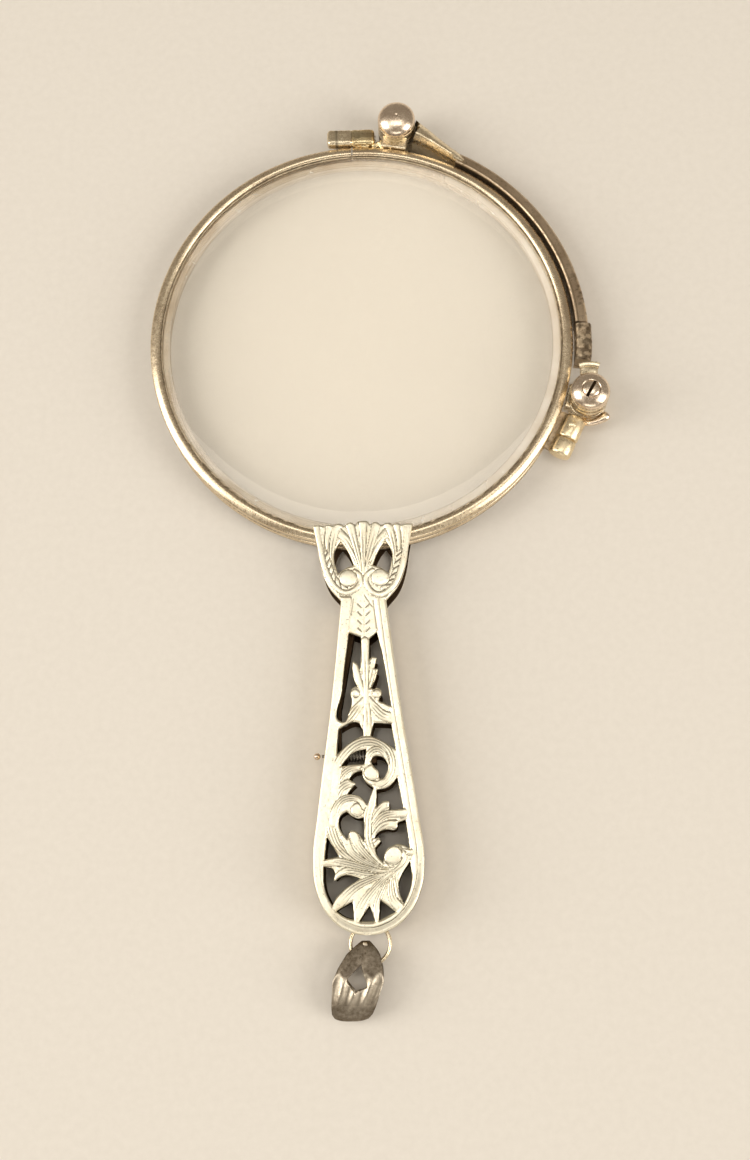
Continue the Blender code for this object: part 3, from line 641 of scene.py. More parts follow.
SCROLL = [
    ([(-2.75, -40.6), (-2.1, -39.2), (-1.3, -38.55), (-0.25, -38.45)], 0.24, 0.34, 0.17, 2),
    ([(-2.75, -41.5), (-2.15, -40.3), (-1.5, -39.85), (-0.85, -39.75)], 0.24, 0.42, 0.16, 2),
    ([(-2.9, -39.6), (-3.1, -41.4), (-3.0, -42.9), (-2.8, -44.0), (-2.3, -45.1), (-1.3, -46.0),
      (-0.3, -46.6), (1.0, -47.0)], 0.36, 0.36, 0.17, 2),
    ([(-2.85, -41.6), (-2.6, -39.8), (-2.25, -38.2), (-1.45, -37.05), (-0.4, -36.4), (0.75, -36.35),
      (1.7, -36.9), (2.15, -37.75), (2.15, -38.7), (1.75, -39.5), (1.05, -39.95), (0.35, -39.8),
      (-0.1, -39.35), (-0.2, -38.7)], 0.46, 0.28, 0.19, 2),
    ([(0.0, -38.3), (0.25, -37.4), (0.95, -36.98), (1.6, -37.4), (1.85, -38.2)], 0.28, 0.2, 0.18, 1),
    ([(0.53, -38.96), (0.59, -38.92)], 0.68, 0.68, 0.21, 0),
    ([(-0.75, -42.05), (-0.67, -42.0)], 0.56, 0.56, 0.19, 0),
    ([(-2.8, -43.2), (-2.6, -42.1), (-2.1, -41.3), (-1.3, -41.0), (-0.5, -41.25), (-0.05, -41.9)],
      0.34, 0.26, 0.19, 2),
    ([(0.35, -45.5), (0.7, -45.0), (1.15, -44.65)], 0.2, 0.3, 0.16, 0),
    ([(0.15, -43.9), (0.5, -42.8), (1.0, -42.05), (1.85, -41.45)], 0.18, 0.42, 0.17, 1),
    ([(0.2, -44.4), (0.85, -43.1), (1.7, -42.45), (3.1, -42.35)], 0.2, 0.42, 0.16, 2),
    ([(0.25, -44.9), (0.95, -43.8), (1.65, -43.3), (2.45, -43.3)], 0.2, 0.38, 0.16, 1),
    ([(0.75, -40.3), (0.45, -41.5), (0.15, -42.5), (0.05, -43.8), (0.15, -44.8), (0.65, -45.9),
      (1.5, -46.8)], 0.36, 0.42, 0.19, 2),
]
PALMETTE = [
    ([(2.4, -46.9), (1.4, -46.9), (0.4, -46.2), (-0.65, -45.0), (-1.15, -43.8)], 0.12, 0.42, 0.17, 2),
    ([(2.4, -46.9), (1.4, -46.95), (0.2, -46.5), (-1.2, -45.6), (-1.8, -44.3)], 0.12, 0.36, 0.15, 2),
    ([(2.5, -46.9), (1.4, -47.2), (0.1, -47.25), (-1.6, -47.0), (-2.65, -47.7)], 0.1, 0.36, 0.15, 1),
    ([(2.5, -46.9), (1.4, -47.1), (0.0, -46.85), (-2.0, -46.35), (-3.7, -46.25)], 0.1, 0.44, 0.17, 2),
    ([(2.7, -46.8), (1.6, -47.35), (0.3, -47.75), (-1.2, -48.5), (-2.8, -50.1)], 0.12, 0.52, 0.17, 2),
    ([(2.9, -46.6), (2.4, -47.4), (2.45, -48.2), (2.7, -49.2), (3.2, -49.9)], 0.12, 0.34, 0.14, 1),
    ([(2.9, -46.6), (2.15, -47.4), (1.95, -48.3), (2.15, -49.4), (2.9, -50.3)], 0.12, 0.46, 0.16, 2),
    ([(2.8, -46.7), (1.9, -47.5), (1.4, -48.4), (0.85, -49.7), (0.82, -51.2)], 0.12, 0.36, 0.15, 2),
    ([(2.8, -46.7), (1.7, -47.5), (0.9, -48.2), (-0.15, -49.4), (-0.95, -51.1)], 0.12, 0.46, 0.16, 2),
]
PEAR = [
    ([(3.0, -45.5), (3.75, -45.6)], 0.24, 0.3, 0.16, 0),
    ([(2.6, -45.3), (3.1, -45.75), (3.05, -46.25), (2.75, -46.7), (2.2, -47.1)], 0.3, 0.12, 0.2, 0),
    ([(2.17, -45.84), (2.23, -45.8)], 0.78, 0.78, 0.2, 0),
]
BUD_TICKS = [-24.75, -25.45, -26.2, -26.85]
# Single cut lines: points, width and depth.
LINES = [
    ([(0.03, -24.6), (0.03, -27.2)], 0.035, 0.3),
    ([(-0.85, -24.0), (-1.05, -25.4)], 0.045, 0.7),
    ([(0.85, -24.2), (1.12, -26.6)], 0.045, 0.7),
    ([(0.1, -23.7), (0.75, -24.7)], 0.045, 0.6),
    ([(2.85, -46.05), (2.88, -46.0)], 0.07, 0.8),
]

CELL = 0.055
BAND = 0.95
PLATE_LEVEL = 0.49
CUT_DEPTH = 0.08


class Relief:
    """A plate as a height field over a fine grid, with its openings cut out to the contour."""

    def __init__(self, cell):
        self.cell = cell
        self.x = np.arange(-4.8, 4.8, cell)
        self.y = np.arange(-52.5, -16.8, cell)
        self.grid_x, self.grid_y = np.meshgrid(self.x, self.y)
        self.outer = self.signed(outline_line(plate_outline(), 14), 60.0)
        self.solid = self.outer.copy()
        for hole in piercings():
            self.solid = np.maximum(self.solid, -self.signed(outline_line(hole), 0.5))
        self.height = np.full(self.grid_x.shape, PLATE_LEVEL)
        self.cuts = np.zeros(self.grid_x.shape)

    def window(self, line, reach):
        low, high = line.min(0) - reach, line.max(0) + reach
        i = np.searchsorted(self.x, [low[0], high[0]])
        j = np.searchsorted(self.y, [low[1], high[1]])
        return slice(j[0], j[1]), slice(i[0], i[1])

    def nearest(self, line, where, closed=False):
        """Distance to a line, the share of its length at the nearest point, and the side."""
        px, py = self.grid_x[where], self.grid_y[where]
        best = np.full(px.shape, 1e9)
        share, side = np.zeros(px.shape), np.zeros(px.shape)
        ends = np.roll(line, -1, axis=0) if closed else line[1:]
        steps = np.linalg.norm(ends - line[:len(ends)], axis=1)
        total, done = steps.sum(), 0.0
        for a, b, length in zip(line, ends, steps):
            if length > 1e-9:
                ux, uy = (b - a) / length
                dx, dy = px - a[0], py - a[1]
                t = np.clip(dx * ux + dy * uy, 0, length)
                away = np.hypot(dx - t * ux, dy - t * uy)
                closer = away < best
                best = np.where(closer, away, best)
                share = np.where(closer, (done + t) / total, share)
                side = np.where(closer, dx * uy - dy * ux, side)
            done += length
        return best, share, side

    def signed(self, line, reach):
        """Signed distance to a closed line, negative inside; beyond reach it is just large."""
        where = self.window(line, reach)
        value = np.full(self.grid_x.shape, 9.0)
        px, py = self.grid_x[where], self.grid_y[where]
        away, _, _ = self.nearest(line, where, closed=True)
        inside = np.zeros(px.shape, bool)
        for a, b in zip(line, np.roll(line, -1, axis=0)):
            if a[1] != b[1]:
                crosses = ((a[1] > py) != (b[1] > py))
                inside ^= crosses & (px < (b[0] - a[0]) * (py - a[1]) / (b[1] - a[1]) + a[0])
        value[where] = np.where(inside, -away, away)
        return value

    def stroke(self, knots, first, last, rise, grooves):
        """A leaf, band or boss: nearly flat, with a fine cut line along its edge and its ribs."""
        line = spline(knots, 7)
        where = self.window(line, max(first, last) + 0.1)
        away, share, side = self.nearest(line, where)
        half = first + (last - first) * share
        lane = side / half
        boss = first == last
        edge = np.exp(-((half - away) / 0.045) ** 2)
        cutting = edge * (1.0 if boss else np.clip(share * 5 - 0.3, 0, 1) * 0.9)
        if grooves < 0:
            twist = np.sin((share * -grooves - lane * 0.55) * 2 * pi)
            cutting = np.maximum(cutting, np.clip(twist - 0.45, 0, 1) * 1.7)
        for k in range(max(grooves, 0)):
            place = (k + 1) / (grooves + 1) * 2 - 1
            rib = np.exp(-((np.abs(lane - place) * half) / 0.04) ** 2)
            fade = np.clip((0.9 - share) * 4.0, 0, 1) * np.clip(share * 5 - 0.8, 0, 1)
            cutting = np.maximum(cutting, 0.75 * fade * rib)
        crown = 0.35 * rise * np.sqrt(np.clip(1 - (away / half) ** 2, 0, 1))
        inside = away < half
        self.height[where] = np.where(inside, PLATE_LEVEL + 0.02 + crown, self.height[where])
        self.cuts[where] = np.where(inside, cutting, self.cuts[where])

    def groove(self, knots, width, depth):
        line = spline(knots, 6)
        where = self.window(line, width * 3)
        away, _, _ = self.nearest(line, where)
        self.cuts[where] = np.maximum(self.cuts[where], depth * np.exp(-(away / width) ** 2))

    def ornament(self):
        for stroke in CREST + STEM + SCROLL + PALMETTE + PEAR:
            self.stroke(*stroke)
        below_neck = np.clip((-23.75 - self.grid_y) / 0.2, 0, 1)
        inward = -self.outer
        band = np.clip((BAND - inward) / 0.05, 0, 1) * below_neck
        face = PLATE_LEVEL + 0.09 - 0.04 * np.abs(inward / BAND * 2 - 1) ** 3
        self.height = self.height * (1 - band) + face * band
        low = np.clip((-43.5 - self.grid_y) / 4, 0, 1)
        side_share = 0.34 + 0.3 * np.clip(self.grid_x, -1, 1) + 0.4 * low
        line = side_share * np.exp(-((inward - 0.6) / 0.04) ** 2)
        # At the lower end a broad band along the edge is cut shallow and marked dark: painted shade.
        hollow = np.clip((-47.6 - self.grid_y + 0.5 * self.grid_x) / 2.5, 0, 1)
        line = np.maximum(line, 0.42 * hollow * np.exp(-((inward - 0.38) / 0.2) ** 4))
        self.cuts = self.cuts * (1 - band) + line * band
        for y in BUD_TICKS:
            for way in (-1, 1):
                self.groove([(0.2 * way, y), (0.5 * way, y + 0.3)], 0.045, 0.75)
        for line in LINES:
            self.groove(*line)

    def finished(self):
        """Cut the lines, round the edges and mark the cuts, where dark patina collects; the broad band
        along the lower end is marked as painted shade.
        """
        inside = np.clip(-self.solid, 0, None)
        edge = np.clip(1 - inside / 0.14, 0, 1)
        height = self.height - CUT_DEPTH * self.cuts - 0.1 * edge ** 2
        wavy = np.sin(self.grid_x * 2.1 + self.grid_y * 0.7) * np.sin(self.grid_y * 1.3)
        height = height + 0.008 * wavy
        oxide_and_shade = np.clip(self.cuts * 1.3 - 0.12, 0, 1)
        return np.clip(height, 0.1, FRONT_HIGH - FRONT_LOW), oxide_and_shade * (inside > 0.02)


def plate_mesh(name, relief, place_height, base):
    """Top surface over the cells inside the contour, walls down from its rim, and a flat base."""
    height, oxide_and_shade = relief.finished()
    solid = relief.solid
    centre = (solid[:-1, :-1] + solid[1:, :-1] + solid[:-1, 1:] + solid[1:, 1:]) / 4
    rows, columns = np.nonzero(centre < 0)
    width = solid.shape[1]
    corners = np.stack([rows * width + columns, rows * width + columns + 1,
                        (rows + 1) * width + columns + 1, (rows + 1) * width + columns], 1)
    used, compact = np.unique(corners, return_inverse=True)
    quads = compact.reshape(-1, 4)
    x, y = relief.grid_x.ravel()[used], relief.grid_y.ravel()[used]
    edges = {}
    for quad in quads.tolist():
        for a, b in zip(quad, quad[1:] + quad[:1]):
            if (b, a) in edges:
                del edges[(b, a)]
            else:
                edges[(a, b)] = True
    rim = sorted({i for edge in edges for i in edge})
    slope_y, slope_x = np.gradient(solid, relief.cell)
    flat_x, flat_y = slope_x.ravel()[used], slope_y.ravel()[used]
    steep = np.maximum(np.hypot(flat_x, flat_y), 0.5)
    away = np.clip(solid.ravel()[used], -relief.cell, relief.cell)
    mask = np.zeros(len(used))
    mask[rim] = 1
    x = x - mask * away * flat_x / steep
    y = y - mask * away * flat_y / steep
    z = place_height(height.ravel()[used])
    dark = oxide_and_shade.ravel()[used]
    bottom = {i: len(used) + k for k, i in enumerate(rim)}
    points = list(zip(x.tolist(), y.tolist(), z.tolist())) + [(x[i], y[i], base) for i in rim]
    faces = quads.tolist() + [(b, a, bottom[a], bottom[b]) for a, b in edges]
    mesh = raw_mesh(name, points, faces)
    marks = mesh.attributes.new("oxide_and_shade", "FLOAT", "POINT")
    marks.data.foreach_set("value", np.concatenate([dark, np.zeros(len(rim))]).astype(np.float32))
    shape = bmesh.new()
    shape.from_mesh(mesh)
    shape.verts.ensure_lookup_table()
    lower = set(bottom.values())
    open_edges = [e for e in shape.edges if e.is_boundary and e.verts[0].index in lower
                  and e.verts[1].index in lower]
    bmesh.ops.triangle_fill(shape, use_beauty=True, edges=open_edges)
    shape.to_mesh(mesh)
    shape.free()
    return mesh


def make_plates():
    thin = (BACK_HIGH - BACK_LOW) / (FRONT_HIGH - FRONT_LOW)
    # Faces inside the handle are painted near-black as shade: the front plate's underside, and the back
    # plate's upper face and side walls.
    sides = (("front", CELL, lambda h: FRONT_LOW + h, FRONT_LOW, lambda place, normal: normal.z < -0.5),
             ("back", CELL * 1.7, lambda h: BACK_HIGH - h * thin, BACK_HIGH,
              lambda place, normal: normal.z > 0.5 or abs(normal.z) < 0.3 and place.z < 0.49))
    for side, cell, height, base, dark in sides:
        relief = Relief(cell)
        relief.ornament()
        mesh = plate_mesh(side + "_openwork", relief, height, base)
        plate = finish_piece(side + "_openwork", mesh, "handle", HANDLE_SILVER,
                             (side + "_plate",), 50)
        paint_shade(plate, dark)


PIN_HOLE_R = 0.34
QUARTER_Y = Matrix.Rotation(pi / 2, 3, "Y")


def make_wall():
    """Gallery wall between the plates: from one side of the neck round the end to the other."""
    neck = [(-1.98, -24.5), (-2.4, -28.5)]
    line = spline(neck + SHAFT + [(0, -52.25)] + RIGHT_SHAFT[::-1] + mirrored(neck)[::-1], 10)
    along = np.gradient(line, axis=0)
    along /= np.linalg.norm(along, axis=1)[:, None]
    inward = np.stack([-along[:, 1], along[:, 0]], 1)
    section = [(0.14, 0.5), (0.1, 0.62), (0.1, 0.8), (0.17, 0.9), (0.17, 2.95), (0.1, 3.05),
               (0.1, 3.23), (0.14, 3.35), (0.5, 3.35), (0.5, 0.5)]
    points = [(*(p + n * depth), z) for p, n in zip(line, inward) for depth, z in section]
    faces = tube_faces(len(line), len(section))
    wall = add_piece("gallery_wall", points, faces, "handle", "silver", BODY_SILVER, "side_wall",
                     sharp=30)
    hole = turned([(0.0, 1.5), (PIN_HOLE_R, 1.5), (PIN_HOLE_R, -1.5), (0.0, -1.5)], 24)
    circle = [2 * pi * i / 16 for i in range(16)]
    way = turned([(RING_R + RING_ROOM * cos(a), RING_ROOM * sin(a)) for a in circle], 64, closed=True)
    cut(wall, at(hole, (-3.4, PIN_Y, MID_Z), QUARTER_Y), at(way, (*RING_PLACE, MID_Z)))
    # The wall's inward faces are painted near-black as shade.
    paint_shade(wall, lambda place, normal: normal.x * place.x + normal.y * (place.y + 40) < 0
           and abs(normal.z) < 0.5)


# ---------------------------------------------------------------- lenses and rims


def rim_profile():
    """Half-round band with a bright inner bevel and a slot for the lens."""
    crown = [(19.1, 0.0), (19.1, 0.1), (19.085, 0.2), (19.045, 0.28), (18.985, 0.34), (18.87, 0.405),
             (18.75, 0.465), (18.63, 0.52), (18.52, 0.545), (18.43, 0.55)]
    shoulder = [(18.35, 0.54), (18.22, 0.49), (18.14, 0.40), (18.12, 0.33), (18.06, 0.35),
                (17.98, 0.33), (17.96, 0.28)]
    upper = crown + shoulder
    slot = [(17.96, 0.2), (18.3, 0.2)]
    half = upper + slot
    return half + [(r, -z) for r, z in reversed(half[1:])]


def lens_profile():
    top = [(LENS_R * i / 14, 0.45 - 0.14 * (i / 14) ** 2) for i in range(15)]
    edge = [(17.3, 0.303), (17.34, 0.285), (17.55, 0.23), (17.78, 0.165), (17.86, 0.14), (18.15, 0.12)]
    half = top + edge
    return half + [(r, -z) for r, z in reversed(half)]


def make_rim(name, body, height, split, *nodes):
    gap = 0.25
    ring = turned(rim_profile(), 300, split + gap, split + 360 - gap, closed=True)
    rim = add_piece(name, *at(ring, (0, 0, height)), body, "tarnished_silver", RIM_SILVER, *nodes,
                    sharp=50)
    stain_and_shade(rim, lambda x, y, z: groove_grime_and_shade(hypot(x, y), z - height))


def groove_grime_and_shade(radius, height):
    """Grime and painted shade in the groove beside the lip, a little on the lip, and painted shade low
    on the outside of a rim, darker towards its bottom.
    """
    if radius < 18.06:
        return 0.2
    if radius < 18.13 and height > 0:
        return 0.9
    return 0.8 * min(1.0, max(0.0, (0.16 - height) / 0.3))


def make_lens(name, body, height, node):
    lens = add_piece(name, *at(turned(lens_profile(), 240), (0, 0, height)), body, "lens_glass", GLASS,
                     node, sharp=60)
    lens.data.materials.append(GROUND)
    for face in lens.data.polygons:
        away = (face.center - CENTRE) / MM
        face.material_index = int(hypot(away.x, away.y) > GROUND_R)
    # A thin ring where the face meets the bevel is marked for painted shade.
    stain_and_shade(lens, lambda x, y, z: 0.6 * (17.25 < hypot(x, y) < 17.32))
    lens.visible_shadow = False


def make_glasses():
    make_rim("front_ring", "handle", FRONT_Z, 91.9, "front_rim")
    make_rim("rear_ring", "rear_glass", REAR_Z, 334.0, "rear_rim")
    make_lens("front_glass", "handle", FRONT_Z, "front_lens")
    make_lens("rear_glass_lens", "rear_glass", REAR_Z, "rear_lens")


# ---------------------------------------------------------------- hinges


def dome(radius, base, rise, inner=0.0, dimple=0.0):
    """Cap profile from its middle over the crown and down to a flat underside."""
    crown = []
    for d in range(90, -1, -5):
        angle = radians(d)
        out, up = radius * cos(angle), base + 0.22 + rise * sin(angle)
        if out >= inner:
            crown.append((out, up))
    if inner:
        start = [(inner, base), (inner, crown[0][1] - 0.05), (inner + 0.06, crown[0][1])]
        return start + crown[1:] + [(radius, base + 0.08), (radius - 0.06, base)]
    crown[0] = (0.0, crown[0][1] - dimple)
    if dimple:
        crown.insert(1, (0.09, crown[0][1] + dimple * 0.35))
        crown.insert(2, (0.17, crown[0][1] + dimple * 0.98))
    return crown + [(radius, base + 0.08), (radius - 0.06, base), (0.0, base)]


SLOT_FLOOR = 4.42


def near_axis(place):
    return hypot(place.x - HINGE_2[0], place.y - HINGE_2[1]) < 0.7


def barrel(low, high):
    """Hinge barrel with softened edges and a fine line round its middle."""
    mid = (low + high) / 2
    outer = [(0.5, high), (DRUM_R - 0.1, high), (DRUM_R - 0.03, high - 0.03), (DRUM_R, high - 0.1),
             (DRUM_R, mid + 0.1), (DRUM_R - 0.05, mid + 0.04), (DRUM_R - 0.05, mid - 0.04),
             (DRUM_R, mid - 0.1), (DRUM_R, low + 0.1), (DRUM_R - 0.03, low + 0.03),
             (DRUM_R - 0.1, low), (0.5, low)]
    return turned(outer, 72, closed=True)


def lug(direction, low, high, inner, outer, half):
    """A short solid foot between a barrel and its rim."""
    foot = soft_box((inner, -half, low), (outer, half, high), 0.12, 10)
    return at(roughened(foot, 0.03, 2.5), (0, 0, 0), Matrix.Rotation(radians(direction), 3, "Z"))


def make_hinge_1():
    shapes = joined(at(barrel(*UPPER_BARREL), HINGE_1), lug(80.4, 2.12, 3.1, 19.12, 20.4, 1.2))
    add_piece("front_barrel", *shapes, "handle", "silver", BODY_SILVER, "front_hinge_drum")
    cap = turned(dome(DRUM_R, CAP_LOW, 0.86, 0.0, 0.05), 72)
    add_piece("front_dome", *at(cap, HINGE_1), "handle", "tarnished_silver", DOME_SILVER,
              "front_hinge_cap", sharp=50)


def make_hinge_2():
    neck = roughened(soft_box((-0.7, 1.45, 2.15), (0.8, 2.6, 3.5), 0.14, 10), 0.03, 2.2)
    collar = turned([(2.62, 3.66), (2.9, 3.64), (3.0, 3.52), (3.0, 3.2), (2.5, 3.2), (2.5, 3.58)],
                    24, 70, 108, closed=True)
    shapes = joined(at(barrel(*UPPER_BARREL), HINGE_2), at(neck, HINGE_2), at(collar, HINGE_2))
    add_piece("bridge_barrel", *shapes, "bridge", "silver", BODY_SILVER, "bridge_hinge_drum")
    cap = turned(dome(DRUM_R, CAP_LOW, 0.84, 0.8), 72, closed=True)
    add_piece("bridge_dome", *at(cap, HINGE_2), "bridge", "tarnished_silver", DOME_SILVER,
              "bridge_hinge_cap", sharp=50)
    head = turned([(0.0, 4.85), (0.3, 4.835), (0.55, 4.78), (0.73, 4.72), (0.785, 4.64), (0.785, 3.9),
                   (0.36, 3.9), (0.36, 0.15), (0.0, 0.15)], 48)
    screw = add_piece("bridge_screw", *at(head, HINGE_2), "bridge", "silver", DOME_SILVER,
                      "bridge_hinge_screw", sharp=40)
    slot = soft_box((-1.0, -0.14, SLOT_FLOOR), (1.0, 0.14, 5.3), 0.01, 1)
    cut(screw, at(slot, HINGE_2, Matrix.Rotation(radians(60), 3, "Z")))
    # The slot's floor and walls are painted near-black as shade.
    paint_shade(screw, lambda place, normal: SLOT_FLOOR - 0.01 < place.z < 4.84 and (
        place.z < SLOT_FLOOR + 0.01 or abs(normal.z) < 0.05 and near_axis(place)))
    shapes = joined(at(barrel(*LOWER_BARREL), HINGE_2), lug(-15.8, 0.82, 1.7, 19.15, 20.1, 1.15))
    add_piece("rear_barrel", *shapes, "rear_glass", "silver", BODY_SILVER, "rear_hinge_knuckle")


# ---------------------------------------------------------------- bridge


def pitting(x, y, z, level):
    """Share of dark patina in the small pits of a corroded surface."""
    return 0.8 * min(max((noise.noise(Vector((x, y, z)) * 2.6) - level) * 8, 0.0), 1.0)


def make_bar():
    """Spring bar: a bright inner bead along the top and a broad face that falls away outwards."""
    section = [(-0.6, 0.85), (-0.6, 3.02), (-0.56, 3.12), (-0.48, 3.19), (-0.38, 3.2), (-0.3, 3.14),
               (-0.26, 3.02), (-0.2, 3.0), (0.1, 2.98), (0.38, 2.88), (0.54, 2.7), (0.6, 2.45),
               (0.6, 0.95), (0.55, 0.82), (0.45, 0.75), (-0.5, 0.75)]
    strip = turned([(BAR_R + r, z) for r, z in section], 160, 3.6, 62.5, closed=True)
    bar = add_piece("spring_bar", *roughened(strip, 0.012, 3.0), "bridge", "tarnished_silver",
                    BAR_SILVER, "bridge_bar", sharp=50)
    # The inner wall is painted dark as shade and as the rim's dark reflection; a thin line at the
    # bead's foot and pits near the end are dark too.
    stain_and_shade(bar, lambda x, y, z: 0.9 * (hypot(x, y) < BAR_R - 0.5 and z < 3.05)
          + 0.6 * (BAR_R - 0.32 < hypot(x, y) < BAR_R - 0.22)
          + pitting(x, y, z, 0.18) * (hypot(x, y) > BAR_R - 0.1) * min(max((7.5 - y) / 3, 0), 1))
    rough = [(-0.62, 1.0), (-0.62, 3.15), (-0.5, 3.3), (-0.2, 3.34), (0.15, 3.33), (0.45, 3.26),
             (0.68, 3.1), (0.8, 2.85), (0.8, 1.2), (0.62, 0.94), (-0.5, 0.92)]
    dense = []
    for a, b in zip(rough, rough[1:] + rough[:1]):
        parts = max(1, int(hypot(b[0] - a[0], b[1] - a[1]) / 0.14))
        dense += [(a[0] + (b[0] - a[0]) * i / parts, a[1] + (b[1] - a[1]) * i / parts)
                  for i in range(parts)]
    sleeve = turned([(BAR_R + r, z) for r, z in dense], 44, -7.1, 2.85, closed=True)
    end = add_piece("bridge_end", *roughened(sleeve, 0.035, 2.2, 4.0), "bridge", "tarnished_silver",
                    ROUGH_SILVER, "bridge_end_piece", sharp=60)
    stain_and_shade(end, lambda x, y, z: pitting(x, y, z, 0.02))


def make_arm():
    """Flared arm: from the lower barrel it narrows in a concave curve to the bar, with a ridge."""
    line = spline([(3.9, 21.3), (4.8, 20.95), (6.0, 20.2), (7.3, 19.2), (8.5, 18.3), (9.75, 17.43)], 12)
    count, points = len(line), []
    along = np.gradient(line, axis=0)
    along /= np.linalg.norm(along, axis=1)[:, None]
    widths = np.interp(np.linspace(0, 1, count), [0, 0.12, 0.3, 0.55, 0.8, 1],
                       [1.2, 1.28, 1.0, 0.74, 0.6, 0.5])
    tops = np.interp(np.linspace(0, 1, count), [0, 0.2, 0.5, 0.85, 1], [3.45, 3.45, 3.45, 3.4, 3.15])
    for p, n, half, top in zip(line, along, widths, tops):
        across = np.array([-n[1], n[0]])
        section = [(-half, 0.6), (-half, 2.6), (-half * 0.82, 2.95), (-half * 0.45, top - 0.04),
                   (-half * 0.3, top), (-half * 0.12, top - 0.04), (half * 0.4, top - 0.3),
                   (half * 0.8, top - 0.6), (half, top - 0.95), (half, 0.6), (half * 0.8, 0.42),
                   (-half * 0.8, 0.42)]
        for offset, z in section:
            x, y = p + across * offset
            under_drum = hypot(x - HINGE_1[0], y - HINGE_1[1]) < DRUM_R + 0.27
            points.append((x, y, min(z, LOWER_BARREL[1]) if under_drum else z))
    flare = points, tube_faces(count, len(points) // count)
    shapes = joined(at(barrel(*LOWER_BARREL), HINGE_1), flare)
    arm = add_piece("flared_arm", *shapes, "bridge", "silver", BODY_SILVER, "bridge_arm", sharp=35)
    # Everything below 2.3 mm, the lower barrel and the arm's lower sides, is painted dark as shade.
    stain_and_shade(arm, lambda x, y, z: 0.8 * (z < 2.3))


# ---------------------------------------------------------------- closing blocks and lip


FRONT_BLOCKS = (-0.65, 20.0, 2.75)
REAR_BLOCKS = (18.38, -9.0, 1.75)


def make_front_blocks():
    """Two soldered halves with a dark seam, and the lumps of solder along their foot."""
    x, y, z = FRONT_BLOCKS
    halves = (("inner", -2.25, 0.16, BODY_SILVER), ("outer", -0.1, 2.15, GILT_SILVER))
    for name, low, high, finish in halves:
        half = soft_box((low, -0.8, -0.56), (high, 0.78, 0.56), 0.36, 16)
        half = roughened(roughened(half, 0.04, 1.1, low), 0.015, 5.0, high)
        block = add_piece("front_clamp_" + name, *at(half, (x, y, z)), "handle", "tarnished_silver",
                          finish, "front_block_" + name, sharp=60)
        stain_and_shade(block, lambda px, py, pz: 0.75 * (px > x and abs(py - y - 0.1) < 0.32 and pz > z)
              + 0.8 * (abs(px - x + 1.35) < 0.07))
    solder = []
    for i in range(9):
        lump = roughened(soft_box((-0.42, -0.26, -0.3), (0.42, 0.26, 0.3), 0.22, 6), 0.14, 1.9, i)
        where = (x + 0.2 + 0.42 * i, 19.42 + 0.08 * sin(i * 2.0) - 0.02 * i,
                 z - 0.02 + 0.05 * cos(i * 3.0))
        solder.append(at(lump, where, Matrix.Rotation(radians(80 * i), 3, "Z")))
    add_piece("front_solder", *joined(*solder), "handle", "tarnished_silver", GILT_SILVER, sharp=60)


def make_rear_block():
    """Round barrel in two halves along the rim, with a pin end on its crown and a base strip."""
    x, y, z = REAR_BLOCKS
    spin = Matrix.Rotation(radians(63.8), 3, "Z")
    for name, low, high in (("inner", -2.2, -0.55), ("outer", -0.45, 1.75)):
        length = high - low
        shell = [(0.0, length), (0.66, length), (0.86, length - 0.04), (0.97, length - 0.14),
                 (1.02, length - 0.32), (1.02, 0.14), (0.99, 0.05), (0.94, 0.0), (0.0, 0.0)]
        if name == "inner":
            shell = [(r, length - up) for r, up in reversed(shell)]
        points, faces = turned(shell, 40)
        flattened = [(p[0] * 0.8, p[1], p[2] + low) for p in points], faces
        shapes = [at(at(flattened, (0, 0), QUARTER_Y), (x, y, z), spin)]
        if name == "outer":
            end = turned([(0.0, 0.86), (0.16, 0.853), (0.27, 0.825), (0.33, 0.78), (0.36, 0.7),
                          (0.36, 0.3), (0.0, 0.3)], 32)
            shapes.append(at(end, (x + 0.36, y + 0.75, z + 0.02)))
        add_piece("rear_clamp_" + name, *joined(*shapes), "rear_glass", "silver", BARREL_SILVER,
                  "rear_block_" + name, sharp=50)
    strip = turned([(18.85, 1.55), (19.6, 1.5), (19.75, 1.4), (19.75, 1.0), (18.85, 1.0)], 30,
                   -31.5, -20.5, closed=True)
    add_piece("rear_base_strip", *roughened(strip, 0.04, 2.0), "rear_glass", "tarnished_silver",
              ROUGH_SILVER, sharp=50)


def make_lip():
    """Curved thumb lip beside the second hinge, thickest towards its rounded end."""
    knots = [(-0.6, -1.75, 1.2), (-0.2, -2.06, 1.4), (0.45, -2.06, 1.6), (1.15, -1.8, 1.7),
             (1.8, -1.38, 1.72)]
    line = spline([(x + HINGE_2[0], y + HINGE_2[1], z) for x, y, z in knots], 8)
    share = np.linspace(0, 1, len(line))
    radii = np.interp(share, [0, 0.3, 0.6, 0.85, 0.94, 0.98, 1],
                      [0.28, 0.31, 0.36, 0.45, 0.42, 0.28, 0.08])
    add_piece("thumb_tab", *tube(line, radii, 20, 0.8), "rear_glass", "silver", DOME_SILVER,
              "thumb_lip", sharp=60)


# ---------------------------------------------------------------- button, ring and bail


BUTTON_R = 0.3


def make_button():
    profile = [(BUTTON_R * sin(radians(a)), BUTTON_R * cos(radians(a))) for a in range(0, 181, 10)]
    points, faces = turned(profile, 32)
    points = [(p[0] if abs(p[0]) > 1e-9 else 0.0, p[1], p[2]) for p in points]
    add_piece("button_knob", *at((points, faces), (BUTTON_X, PIN_Y, MID_Z), QUARTER_Y), "push_button",
              "silver", DOME_SILVER, "button_ball", sharp=60)


COIL_FROM, COIL_TO, COIL_TURNS, COIL_R, COIL_WIRE = -1.38, 0.25, 6, 0.48, 0.09


